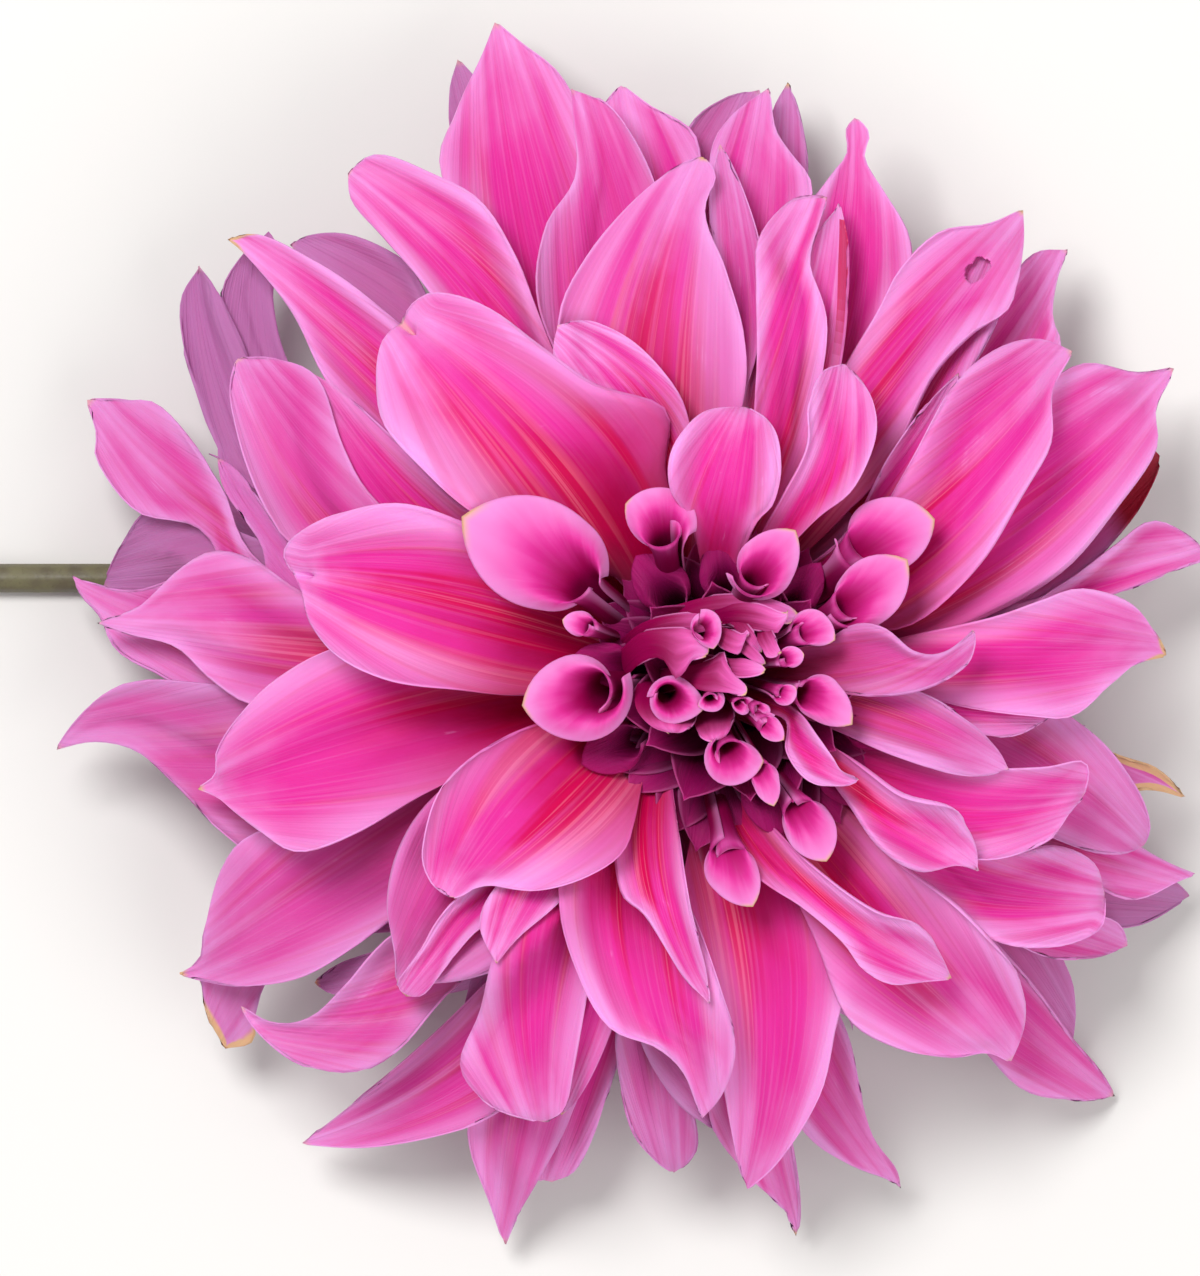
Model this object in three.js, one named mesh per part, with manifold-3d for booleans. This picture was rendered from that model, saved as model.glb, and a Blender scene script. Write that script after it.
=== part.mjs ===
// A fully double pink dahlia, cut and laid down face up on its own back petals and its stem.
// Millimetres, +Z up. Plan places are measured from the eye of the bloom, x to the right and
// y to the top of the bloom as seen from above, z from the surface that it lies on.
import * as THREE from "three";
import { mergeVertices } from "three/addons/utils/BufferGeometryUtils.js";
import Module from "manifold-3d";

const wasm = await Module();
wasm.setup();

const DEGREE = Math.PI / 180;
const GOLDEN_ANGLE = 137.508 * DEGREE;

// The bloom's outline in plan is near enough a circle about a point left of the eye,
// because the bloom leans to the right.
const BLOOM_RADIUS = 120;
const BLOOM_CENTRE = [-24, 10];

// Height of the crown of petals, by how far out a point lies: 0 at the eye, 1 at the outline.
const CROWN = [
  [0, 88],
  [0.15, 95],
  [0.3, 95],
  [0.5, 88],
  [0.7, 77],
  [0.85, 66],
  [1, 52],
  [1.12, 38],
  [1.3, 22],
];
const LAYER_DROP = 8; // each layer of petals lies this much under the one above it
const LOWEST_TIP = -0.4; // the tips that carry the bloom are pressed flat on the surface
const LOWEST_MIDDLE = 9;

// The receptacle that all petals grow from, its lean, and the profile of the crowded mound of
// petal roots round it.
const HUB = [-12, 4, 45];
const LEAN = new THREE.Quaternion().setFromUnitVectors(
  new THREE.Vector3(0, 0, 1),
  new THREE.Vector3(0.3, -0.1, 0.95).normalize(),
);
const HUB_PROFILE = [
  [0, -22],
  [14, -22],
  [26, -18],
  [33, -10],
  [35, 0],
  [33, 10],
  [27, 19],
  [17, 25],
  [0, 27],
];
const ROOT_TOP = 12; // where the innermost petals are rooted, along the receptacle
const ROOT_DROP = 6.4; // and how much lower each layer is rooted
const ROOT_LOWEST = -18;
const ROOT_RADIUS = 4.5;
const ROOT_SPREAD = 2.2;

const PETAL_ROWS = 5;
const PETAL_COLUMNS = 4;
const BACK_COLUMNS = 2;
const ROLL_ROWS = 4;
const ROLL_COLUMNS = 6;
const WIDE_ROLL_COLUMNS = 8;
const WIDE_ROLL = 3; // radius over which a floret of the centre has them

const CLAW_WIDTH = 6; // of a petal where it leaves the receptacle
const ROOT_CUP = 80; // degrees that the cross-section turns through there
const GROOVE = 1.5; // depth of the groove along a broad petal's midrib
const WAVE = 2; // height of the waves along a broad petal's edges
const BROAD = 25; // width of a petal that has them in full
const TIP_CURL = 1.5; // how far a petal's tip turns up, if its row doesn't say
const TIP_START = 0.8; // where a tip or a rim starts to bend, as a share of the length
const TROUGH = 0.9; // low for a sharp fold along the midrib, high for a flat one

const PETAL_THICKNESS = 0.8;
const CLEARANCE = 0.3; // between pieces that touch
const GROUND_SIDE = 500;
const GROUND_DEPTH = 20;
const PILE_CELL = 1.5; // side of a cell of the net that petals are stacked on
const PILE_SIDE = 220; // cells along the net's side
const PILE_GAP = 1.2; // from the face of one petal to the face of the next over it

// Bowl that parts the small centre florets from the open petals round them.
const BOWL_FOOT = new THREE.Vector3(-8, 2.7, 59.5);
const BOWL_PROFILE = [
  [0, 0],
  [6.5, 0],
  [11, 8],
  [15, 16],
  [18.5, 24],
  [21, 46],
  [0, 46],
];
const CENTRE_CORE_PROFILE = [
  [0, 0],
  [6.5, 0],
  [9, 6],
  [9.5, 12],
  [7, 18],
  [3, 22],
  [0, 23],
];

const STEM_RADIUS = 2.85;
const STEM_SIDES = 10;
const STEM_PATH = [
  [-196, 22.5, 2.6],
  [-160, 22.5, 2.6],
  [-120, 22.5, 2.6],
  [-84, 22.3, 2.6],
  [-66, 21, 3.2],
  [-50, 18, 6],
  [-36, 13, 11],
  [-25, 9, 17],
];
const STEM_STEPS = 16;

const CALYX_PROFILE = [
  [0, -34],
  [3.4, -33.5],
  [6, -30],
  [10, -26.5],
  [12.5, -23],
  [11, -22.3],
  [0, -22.3],
];
// Rings of bracts: how many, the first one's bearing and the turn to the next in degrees, then
// their reach, width, and places along the receptacle's axis at the root and at the tip.
const BRACT_RINGS = [
  { count: 5, first: -140, turn: 56, reach: 24, width: 10, start: -29, end: -35 },
  { count: 8, first: 20, turn: 45, reach: 13, width: 8, start: -26, end: -28 },
];
const BRACT_SHAPE = { radius: 6, sink: 2, arch: 1.5, middle: 0.55, cup: 50 };

// Open petals, from the left of the bloom round to its top. All places are plan places. A petal
// has a tip and two edges, which run from its base to its tip. Layer counts down from the crown.
// Cup is the angle that its cross-section turns through in degrees, positive where the edges
// rise. tipCurl, tipHeight and fold are given where a petal's tip or trough differs from the rest.
const PETALS = [
  {
    name: "A1", tip: [-132, 59], layer: 5, cup: 50,
    one: [[-90, 22], [-104, 41], [-109, 49], [-117, 57.5], [-124, 58.5]],
    other: [[-92, 15], [-108, 32], [-121, 36], [-129, 46], [-129.5, 52]],
  },
  {
    name: "A1b", tip: [-105, 47], layer: 4.6, cup: 60,
    one: [[-86, 14], [-96, 30], [-103, 40]],
    other: [[-80, 18], [-90, 29], [-97, 39], [-101, 44]],
  },
  {
    name: "A2", tip: [-109, 86], layer: 5, cup: 70,
    one: [[-96, 40], [-105, 50], [-109, 60], [-112, 70], [-112.5, 79]],
    other: [[-88, 40], [-96, 54], [-99, 67], [-103, 76], [-106, 82]],
  },
  {
    name: "A3", tip: [-95, 93], layer: 5.3, cup: 60,
    one: [[-86, 46], [-98, 64], [-103, 75], [-104, 81], [-100, 88]],
    other: [[-78, 50], [-90, 64], [-94, 78], [-93, 88]],
  },
  {
    name: "A4", tip: [-104, 91.5], layer: 3.6, cup: 60, tipCurl: 3,
    one: [[-44, 48], [-60, 66], [-76, 80], [-88, 87.5], [-97, 91.5]],
    other: [[-48, 26], [-71, 49], [-82, 61], [-90, 76], [-99, 87]],
  },
  {
    name: "A5", tip: [-91, 90], layer: 4.9, cup: 40,
    one: [[-52, 62], [-62, 78], [-66, 85], [-72, 89], [-79, 91.5], [-86, 91.5]],
    other: [[-52, 50], [-70, 68], [-82, 80]],
  },
  {
    name: "A6", tip: [-101, 67], layer: 3.2, cup: 60,
    one: [[-58, 26], [-73, 38], [-79, 48], [-83, 60], [-87, 64.5], [-94, 66.5]],
    other: [[-66, 16], [-88, 28], [-94, 35], [-98.5, 45], [-101.5, 56], [-102, 62]],
  },
  {
    name: "A7", tip: [-86, 64], layer: 3.4, cup: 50,
    one: [[-44, 32], [-56, 37], [-70, 51], [-80, 60]],
    other: [[-48, 22], [-66, 33], [-76, 45], [-83, 57]],
  },
  {
    name: "A8", tip: [-129, 21], layer: 5.1, cup: 40, tipHeight: 9,
    one: [[-90, 28], [-110, 36], [-119, 36], [-124, 30], [-127.5, 24]],
    other: [[-90, 12], [-110, 16], [-122, 19]],
  },
  {
    name: "E1", tip: [-136, 23.5], layer: 4.8, cup: 50, tipHeight: 11, tipCurl: 3,
    one: [[-85, 18], [-105, 24], [-121, 20], [-131, 21.5]],
    other: [[-84, 2], [-108, 0], [-117, 3.5], [-125, 8], [-129, 15], [-133, 19]],
  },
  {
    name: "E2", tip: [-130, 13.5], layer: 3.6, cup: -20, tipCurl: 2,
    one: [[-74, 14], [-88, 20], [-97, 26], [-105, 28], [-112, 24.5], [-121, 16.5]],
    other: [[-74, 0], [-88, -3], [-98, -3], [-106, 2], [-113, 8.5], [-122, 11]],
  },
  {
    name: "E3", tip: [-139, -12], layer: 4.4, cup: 50, tipCurl: 3,
    one: [[-84, 0], [-104, 1], [-120, 2], [-128, -1], [-134, -6.5]],
    other: [[-80, -26], [-96, -32], [-104, -28], [-112, -20], [-121, -12.5], [-130, -10.5]],
  },
  {
    name: "E4", tip: [-108, -20], layer: 3, cup: 60, tipCurl: 2,
    one: [[-52, 2], [-70, 9], [-82, 8], [-93, 2], [-100, -5], [-105, -13]],
    other: [[-44, -12], [-62, -20], [-76, -28], [-87, -32], [-94, -29.5], [-102, -25]],
  },
  {
    name: "E5", tip: [-91, 24], layer: 2, cup: 60, tipCurl: 8,
    one: [[-34, 22], [-50, 31], [-66, 37], [-79, 35.5], [-87, 30.5]],
    other: [[-36, 0], [-46, -1], [-56, 0], [-70, 2], [-80, 6.5], [-87, 15]],
  },
  {
    name: "E6", tip: [-112, -58], layer: 4, cup: 50, tipCurl: 2,
    one: [[-62, -18], [-84, -25], [-98, -29], [-104, -36], [-108, -49]],
    other: [[-52, -34], [-68, -45], [-78, -52], [-88, -57.5], [-100, -59.5]],
  },
  {
    name: "F2", tip: [-104, -73], layer: 5, cup: 50,
    one: [[-76, -36], [-102, -48], [-108, -56], [-107, -66]],
    other: [[-70, -46], [-92, -56], [-97, -64], [-98, -71]],
  },
  {
    name: "F3", tip: [-86, -59], layer: 4.5, cup: 60,
    one: [[-50, -36], [-68, -50], [-80, -55]],
    other: [[-50, -46], [-66, -58], [-80, -61]],
  },
  {
    name: "F4", tip: [-102, -64], layer: 3.8, cup: 110, tipCurl: 4,
    one: [[-54, -38], [-70, -49], [-79, -59], [-86, -65.5], [-94, -67]],
    other: [[-44, -46], [-59, -61], [-68, -71.5], [-77, -76.5], [-88, -75], [-97, -69]],
  },
  {
    name: "F5", tip: [-70, -60.5], layer: 3, cup: 90, tipCurl: 5, fold: 0.5,
    one: [[-46, -10], [-61, -21], [-68, -31], [-70.5, -42], [-69, -53]],
    other: [[-24, -30], [-36, -43], [-46, -54], [-54, -57.5], [-63, -59]],
  },
  {
    name: "F6", tip: [-59, -43], layer: 2, cup: 70, tipCurl: 5,
    one: [[-32, -4], [-48, -10], [-59, -19], [-63, -31], [-62, -38]],
    other: [[-19, -8], [-20, -20], [-23, -31], [-30, -36.5], [-40, -39.5], [-51, -39]],
  },
  {
    name: "F7", tip: [-49, -55], layer: 2.6, cup: 80,
    one: [[-38, -28], [-48, -38], [-52, -46]],
    other: [[-28, -32], [-36, -42], [-44, -49]],
  },
  {
    name: "F8", tip: [-89, -92], layer: 4.8, cup: 60, tipCurl: 2,
    one: [[-38, -44], [-52, -60], [-66, -73.5], [-78, -83.5]],
    other: [[-28, -56], [-42, -78], [-50, -85.5], [-61, -89.5], [-75, -92]],
  },
  {
    name: "G1", tip: [-39, -88], layer: 3, cup: -40, tipCurl: 3,
    one: [[-36, -32], [-48, -50], [-52, -64], [-56, -75], [-50, -83]],
    other: [[-24, -36], [-29, -52], [-31, -64], [-33, -75], [-35, -84]],
  },
  {
    name: "G2", tip: [-47.5, -113], layer: 5, cup: 50, tipCurl: 2,
    one: [[-42, -66], [-53, -84], [-54, -92], [-50, -104]],
    other: [[-28, -66], [-34, -86], [-40, -98], [-45, -107]],
  },
  {
    name: "G3", tip: [-38, -100], layer: 5.2, cup: 40,
    one: [[-34, -66], [-44, -86], [-43, -97]],
    other: [[-20, -62], [-25, -76], [-29, -89], [-33, -97]],
  },
  {
    name: "G4", tip: [-36, -86], layer: 4, cup: 70,
    one: [[-28, -48], [-36, -68], [-38, -78]],
    other: [[-20, -50], [-25, -66], [-29, -76], [-33, -83]],
  },
  {
    name: "G5", tip: [-13, -98], layer: 5, cup: 110,
    one: [[-22, -56], [-25, -70], [-22, -87], [-17, -94.5]],
    other: [[-12, -56], [-11, -76], [-8.5, -90], [-10, -95]],
  },
  {
    name: "G6", tip: [-7, -87], layer: 2.6, cup: 60, tipCurl: 3,
    one: [[-34, -24], [-36, -42], [-32, -57], [-26, -67], [-17, -71], [-11, -77]],
    other: [[-17, -28], [-9, -46], [-4, -60], [-1, -71], [-3, -80]],
  },
  {
    name: "G6b", tip: [2, -91], layer: 5, cup: 40,
    one: [[-22, -56], [-20, -70], [-14, -81], [-8, -86.5]],
    other: [[-6, -56], [0, -74], [3, -84]],
  },
  {
    name: "G7", tip: [-6, -63], layer: 2.1, cup: 100,
    one: [[-21, -14], [-25, -28], [-24, -40], [-19, -45], [-12, -56]],
    other: [[-14, -14], [-12, -32], [-10, -44], [-7, -55]],
  },
  {
    name: "G8", tip: [1.5, -101], layer: 3, cup: 70,
    one: [[-9, -22], [-12, -42], [-8, -60], [-4, -76], [-1, -92]],
    other: [[8, -22], [17, -42], [21, -57], [19, -68], [16, -81], [8, -94]],
  },
  {
    name: "G9", tip: [12, -112], layer: 5, cup: 60, tipCurl: 3,
    one: [[-6, -66], [-6, -86], [2, -98], [9, -105]],
    other: [[6, -66], [10, -88], [12, -100], [12.5, -108]],
  },
  {
    name: "H1", tip: [33.5, -102], layer: 4.4, cup: 60, tipCurl: 3,
    one: [[2, -54], [8, -80], [14, -90], [22, -95.5], [30, -99]],
    other: [[12, -50], [21, -68], [24, -80], [27, -90], [32, -97]],
  },
  {
    name: "H3", tip: [42, -58], layer: 2, cup: 110, tipCurl: 3,
    one: [[0, -18], [8, -29], [18, -38], [27, -45], [38, -48], [41, -52]],
    other: [[-8, -22], [2, -36], [12, -43], [20, -50], [25, -56], [32, -60], [39, -60]],
  },
  {
    name: "H4", tip: [56, -76], layer: 3, cup: 60, tipCurl: 4,
    one: [[18, -20], [30, -33], [42, -42], [50, -50], [56, -58], [57.5, -66]],
    other: [[4, -28], [14, -48], [21, -65], [31, -71.5], [42, -73.5], [50, -73]],
  },
  {
    name: "H5", tip: [77, -83], layer: 4.4, cup: 60, tipCurl: 2,
    one: [[38, -38], [56, -56], [66, -69], [73, -77]],
    other: [[30, -50], [47, -70], [57, -80.5], [68, -83]],
  },
  {
    name: "H6", tip: [68, -72], layer: 4.8, cup: 40,
    one: [[38, -32], [58, -44], [66, -56], [68, -64]],
    other: [[32, -42], [50, -58], [60, -68]],
  },
  {
    name: "H7", tip: [74, -41], layer: 3.2, cup: 60,
    one: [[34, -20], [50, -31.5], [63, -31], [71, -34.5]],
    other: [[28, -32], [48, -49], [62, -51.5], [72, -48]],
  },
  {
    name: "H7b", tip: [79, -52], layer: 4.2, cup: 60,
    one: [[42, -28], [66, -43], [76, -47]],
    other: [[38, -38], [58, -52], [70, -54]],
  },
  {
    name: "H8", tip: [92, -42], layer: 5, cup: 40,
    one: [[50, -24], [73, -37], [86, -38]],
    other: [[48, -34], [68, -46], [80, -47.5]],
  },
  {
    name: "I1", tip: [94, -38], layer: 4.2, cup: 80, tipCurl: 4,
    one: [[46, -8], [66, -21], [80, -31], [87, -35]],
    other: [[42, -20], [62, -32], [73, -40], [80, -42], [89, -39]],
  },
  {
    name: "I2", tip: [91, -22], layer: 4.6, cup: 80, tipCurl: 2,
    one: [[50, -2], [74, -12.5], [84, -16]],
    other: [[48, -10], [70, -20], [83, -20]],
  },
  {
    name: "I3", tip: [82, -32], layer: 3.6, cup: 60, tipCurl: 2,
    one: [[40, 2], [58, -1], [71, -9], [79, -19], [82.5, -27]],
    other: [[36, -12], [52, -24], [68, -31.5], [77, -33]],
  },
  {
    name: "I4", tip: [71, -21], layer: 2.4, cup: 80, tipCurl: 5,
    one: [[14, -5], [28, -10], [46, -15], [60, -15.5], [69, -14.5]],
    other: [[10, -12], [26, -24], [40, -31.5], [50, -33.5], [61, -30], [67, -24]],
  },
  {
    name: "I5", tip: [54, -16], layer: 2.2, cup: 70,
    one: [[18, 2], [34, 0], [45, -6], [51, -11.5]],
    other: [[14, -6], [30, -13], [44, -17]],
  },
  {
    name: "I5b", tip: [63, -5], layer: 3, cup: 60,
    one: [[24, 6], [44, 3], [58, 0]],
    other: [[22, -4], [42, -8], [54, -9]],
  },
  {
    name: "I7", tip: [87, 7], layer: 2.8, cup: 60, tipCurl: 3,
    one: [[18, 8], [34, 11], [50, 14.5], [60, 18], [68, 20.5], [78, 17.5], [84, 11]],
    other: [[20, 1], [35, -1], [46, -3.5], [58, -5], [66, -5], [74, 1], [80, 5.5]],
  },
  {
    name: "I8", tip: [96, 27], layer: 4, cup: 70, tipCurl: 3,
    one: [[48, 14], [64, 21], [75, 29], [83, 34], [91, 31]],
    other: [[50, 6], [68, 16], [80, 21], [90, 25]],
  },
  {
    name: "D1", tip: [86, 48], layer: 4.6, cup: 110, tipCurl: 3,
    one: [[46, 30], [64, 44], [74, 50], [81, 51]],
    other: [[50, 18], [65, 24], [77, 33], [82, 42]],
  },
  {
    name: "D2", tip: [89, 66], layer: 3, cup: 60, tipCurl: 4,
    one: [[34, 28], [48, 46], [60, 60], [69, 65.5], [80, 64]],
    other: [[34, 10], [50, 15], [65, 24], [76, 37], [83.5, 48], [84, 57]],
  },
  {
    name: "D3", tip: [67.5, 69], layer: 2.3, cup: 60, tipCurl: 3,
    one: [[20, 24], [32, 42], [42, 60], [50, 67.5], [59, 70.5]],
    other: [[24, 11], [36, 14], [48, 25], [56, 38], [62, 49], [62.5, 60]],
  },
  {
    name: "D4", tip: [44, 64], layer: 2.8, cup: 110,
    one: [[18, 28], [30, 47], [38, 58]],
    other: [[22, 24], [33, 39], [41, 54]],
  },
  {
    name: "D5", tip: [67, 90], layer: 4.2, cup: 60, tipCurl: 3,
    one: [[34, 50], [48, 72], [58, 87]],
    other: [[42, 42], [58, 58], [64.5, 68], [63, 75], [64, 83]],
  },
  {
    name: "C1", tip: [58, 97.5], layer: 3, cup: 60, tipCurl: 6,
    one: [[8, 40], [18, 60], [27, 75], [32, 84], [40, 91.5], [50, 93.5]],
    other: [[18, 32], [30, 46], [38, 62], [46, 71], [54, 77], [57, 88]],
  },
  {
    name: "C2", tip: [23.5, 118], layer: 3.8, cup: 80, tipCurl: 6,
    one: [[4, 50], [9, 76], [13, 95], [18, 104], [22, 110]],
    other: [[18, 48], [28, 70], [34, 82], [34, 91], [29, 100], [25, 108]],
  },
  {
    name: "C3", tip: [18, 101], layer: 2.6, cup: 80, tipCurl: 5,
    one: [[0, 40], [3, 62], [3, 80], [3.5, 90], [10, 98]],
    other: [[10, 40], [15, 58], [17, 73], [14, 85], [16, 94]],
  },
  {
    name: "C4", tip: [20, 98], layer: 2.9, cup: 90,
    one: [[8, 46], [13, 70], [14, 88]],
    other: [[14, 44], [20, 66], [21.5, 86]],
  },
  {
    name: "C5", tip: [6, 85], layer: 2.8, cup: 110,
    one: [[-2, 38], [0, 56], [2, 67], [3.5, 78]],
    other: [[4, 38], [8, 57], [10, 74], [9, 81]],
  },
  {
    name: "B1", tip: [-49.5, 136], layer: 3.6, cup: 60, tipCurl: 3,
    one: [[-36, 60], [-50, 84], [-60, 104], [-57, 116], [-52, 128]],
    other: [[-24, 60], [-28, 84], [-28, 102], [-31, 114], [-36, 123.5], [-44, 130.5]],
  },
  {
    name: "B2", tip: [-80, 105], layer: 2.9, cup: 60, tipCurl: 4,
    one: [[-28, 46], [-37, 67], [-45, 87], [-52, 98], [-62, 103.5], [-73, 107.5]],
    other: [[-38, 38], [-50, 60], [-61, 78], [-71, 90], [-78, 98]],
  },
  {
    name: "B3", tip: [-57, 128], layer: 5, cup: 50,
    one: [[-46, 84], [-57, 108], [-58.5, 120]],
    other: [[-38, 84], [-48, 108], [-52, 121]],
  },
  {
    name: "B4", tip: [-34, 122], layer: 3.1, cup: 80, tipCurl: 3,
    one: [[-30, 52], [-40, 76], [-39, 92], [-33, 103], [-33.5, 115]],
    other: [[-20, 52], [-18, 76], [-16, 95], [-19, 106], [-26, 117]],
  },
  {
    name: "B5", tip: [-7, 108], layer: 2.2, cup: 70, tipCurl: 3,
    one: [[-28, 44], [-35, 60], [-36, 75], [-31, 86], [-23, 96], [-14, 104]],
    other: [[-6, 40], [0, 55], [1, 68], [-3, 83], [-7, 95], [-5, 103]],
  },
  {
    name: "B6", tip: [-4, 110], layer: 2.7, cup: 90,
    one: [[-8, 50], [-4, 75], [-6, 97]],
    other: [[-2, 50], [3, 66], [5, 80], [3.5, 90], [0, 101]],
  },
  {
    name: "B7", tip: [6, 122], layer: 3.6, cup: 60, tipCurl: 2,
    one: [[-8, 62], [-6, 90], [-6, 107], [-2, 115]],
    other: [[4, 62], [12, 90], [14.5, 101], [10, 108], [7, 113]],
  },
  {
    name: "B8", tip: [4, 121.5], layer: 4.6, cup: 50,
    one: [[-14, 76], [-14, 100], [-10, 113], [-3, 119]],
    other: [[0, 76], [6, 102], [6, 114]],
  },
  {
    name: "B9", tip: [10, 124], layer: 4.8, cup: 50, tipCurl: 3,
    one: [[2, 80], [5, 104], [6.5, 116]],
    other: [[10, 80], [13.5, 102], [12.5, 114]],
  },
  {
    name: "B10", tip: [-24, 123], layer: 4.2, cup: 50, tipCurl: 3,
    one: [[-24, 78], [-29, 104], [-28, 116]],
    other: [[-10, 78], [-8, 98], [-9, 111], [-18, 117.5]],
  },
  {
    name: "B11", tip: [-37, 73], layer: 2, cup: 130,
    one: [[-17, 40], [-23, 55], [-30, 60], [-37, 66]],
    other: [[-8, 40], [-10, 52], [-13, 60], [-21, 69], [-30, 73.5]],
  },
  {
    name: "J1", tip: [-69, 71], layer: 2, cup: 60, tipCurl: 5,
    one: [[-24, 22], [-40, 28], [-54, 36], [-63, 44], [-71, 53], [-72, 63]],
    other: [[-13, 32], [-15, 44], [-15, 56], [-29, 61], [-39, 68], [-50, 76], [-61, 78]],
  },
  {
    name: "K1", tip: [1, 57], layer: 1.5, cup: 70,
    one: [[-8, 22], [-10, 33], [-14, 40], [-13.5, 48], [-8, 55]],
    other: [[-2, 22], [3, 33], [6.5, 37], [8, 44], [6.5, 52]],
  },
  {
    name: "K2", tip: [21, 65.5], layer: 1.6, cup: 130,
    one: [[1, 26], [8, 38], [13, 48], [13.5, 57], [16, 63]],
    other: [[6, 24], [15, 34], [22, 40], [26.5, 50], [26, 58]],
  },
  {
    name: "I9", tip: [48, -36.5], layer: 1.9, cup: 120, tipCurl: 2,
    one: [[16, -10], [24, -15], [32, -20.5], [42, -23.5], [46.5, -30]],
    other: [[12, -12], [20, -21], [27, -31], [35, -36], [43, -35]],
  },
  {
    name: "I10", tip: [48, 12], layer: 1.6, cup: -40,
    one: [[16, 7], [26, 13], [34, 13.5], [42, 12.5]],
    other: [[16, 0], [28, -1], [38, 1.5], [46, 6]],
  },
  {
    name: "L8", tip: [24, -18], layer: 1.2, cup: 130,
    one: [[4, 0], [11, -4], [15, -9], [18, -13], [20, -16]],
    other: [[2, -4], [9, -6], [9, -12], [13, -17.5], [19, -19]],
  },
];

// Petals rolled like a calla, which stand round the centre. Mouth, tip and foot are plan places:
// the middle of the roll's open end, its point and its root. Sweep is how far the blade goes
// round the mouth on either side of the tip, in degrees, the left side first. Spiral draws the
// left side in, and the right side out, by that share of the radius for each half turn. Lip is
// how far round, in degrees, the point spreads on either side, and throat is how wide the roll is
// under its rim, as a share of the radius.
const ROLLED_PETALS = [
  {
    name: "J3", mouth: [-37, 25], radius: 10, tip: [-55.5, 34.5],
    foot: [-15, 8], layer: 1.5, sweep: [165, 175], spiral: -0.1, lip: 105, throat: 0.4,
  },
  {
    name: "K4", mouth: [28.5, 31], radius: 8, tip: [38.5, 34],
    foot: [2, 10], layer: 1.5, sweep: [170, 200], spiral: -0.15,
  },
  {
    name: "K5", mouth: [24, 19.5], radius: 6, tip: [33, 26],
    foot: [4, 6], layer: 1.4, sweep: [150, 230], spiral: -0.2, lip: 100,
  },
  {
    name: "K6", mouth: [4.5, 24.5], radius: 7, tip: [10.8, 31.8],
    foot: [-5, 10], layer: 1.1, sweep: [260, 230], spiral: 0.35,
  },
  {
    name: "K7", mouth: [-16, 33.5], radius: 6.8, tip: [-23.5, 37.5],
    foot: [-12, 14], layer: 1.3, sweep: [200, 200], spiral: -0.25,
  },
  {
    name: "K8", mouth: [-31.5, -0.5], radius: 9.8, tip: [-43.5, -3],
    foot: [-16, 2], layer: 1.3, sweep: [205, 190], spiral: -0.2,
  },
  {
    name: "K9", mouth: [-32, 13], radius: 2.6, tip: [-35.5, 14],
    foot: [-18, 8], layer: 1.9, sweep: [180, 200], spiral: -0.2,
  },
  {
    name: "M1", mouth: [-1.5, -36], radius: 6, tip: [2, -43],
    foot: [-8, -8], layer: 1.9, sweep: [190, 200], spiral: 0.2,
  },
  {
    name: "L9", mouth: [13, -28], radius: 5, tip: [17, -35],
    foot: [-1, -6], layer: 1.8, sweep: [180, 190], spiral: 0.2,
  },
];

// Smaller ones of the same form, which make up the centre.
const ROLLED_FLORETS = [
  {
    name: "L7", mouth: [15.5, -0.5], radius: 4.8, tip: [22, -6.8],
    foot: [-1, 2], layer: 0.8, sweep: [180, 210], spiral: 0.2,
  },
  {
    name: "L1", mouth: [-14, -2], radius: 5, tip: [-7, -3.2],
    foot: [-10, 2], layer: 0.6, sweep: [180, 190], spiral: 0.2,
  },
  {
    name: "L3", mouth: [-7.2, 12.8], radius: 3, tip: [-5.5, 7.5],
    foot: [-9, 6], layer: 0.25, sweep: [180, 180], spiral: 0.2,
  },
  {
    name: "L10", mouth: [-2, -13.5], radius: 5.2, tip: [4.5, -14],
    foot: [-7, -1], layer: 0.9, sweep: [230, 220], spiral: 0.3,
  },
  {
    name: "L11", mouth: [4.5, -17.5], radius: 2.8, tip: [6.5, -23],
    foot: [-4, -2], layer: 1.2, sweep: [170, 170], spiral: 0.2,
  },
  {
    name: "L12", mouth: [14, 12.6], radius: 3.6, tip: [18.6, 10],
    foot: [-3, 5], layer: 0.8, sweep: [200, 200], spiral: 0.25,
  },
  {
    name: "L13", mouth: [9.7, 6.3], radius: 2.3, tip: [12, 7.8],
    foot: [-4, 4], layer: 0.25, sweep: [190, 200], spiral: 0.25,
  },
  {
    name: "L14", mouth: [8.6, 0], radius: 2, tip: [10.8, 1],
    foot: [-4, 3], layer: 0.2, sweep: [190, 200], spiral: 0.25,
  },
  {
    name: "L15", mouth: [0.8, -3.3], radius: 1.9, tip: [-1.8, -2.2],
    foot: [-6, 2], layer: 0.15, sweep: [190, 200], spiral: 0.25,
  },
  {
    name: "L16", mouth: [4.4, -4], radius: 1.8, tip: [2.4, -2.4],
    foot: [-5, 2], layer: 0.2, sweep: [190, 200], spiral: 0.25,
  },
  {
    name: "L17", mouth: [5.6, -7.6], radius: 2.4, tip: [8.4, -9.6],
    foot: [-5, 1], layer: 0.3, sweep: [190, 200], spiral: 0.25,
  },
  {
    name: "L18", mouth: [-5.8, -2], radius: 2, tip: [-8.6, -3],
    foot: [-8, 2], layer: 0.2, sweep: [190, 200], spiral: 0.25,
  },
];
const LIP = 75;
const THROAT = 0.5;
const MOST_SWEEP = 160; // on either side, so that a roll's edges don't run into each other
const ROLL_FOOT = 58; // height of the rolls' feet, less a step for each layer
const ROLL_FOOT_DROP = 9;

// Petals at the back of the bloom, which the measured ones hide, are laid out by the golden angle.
const BACK_RINGS = [
  { count: 18, reach: 0.82, spread: 0.08, width: 26, cup: 50, layer: 5.8, turn: 0.4 },
];

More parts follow.
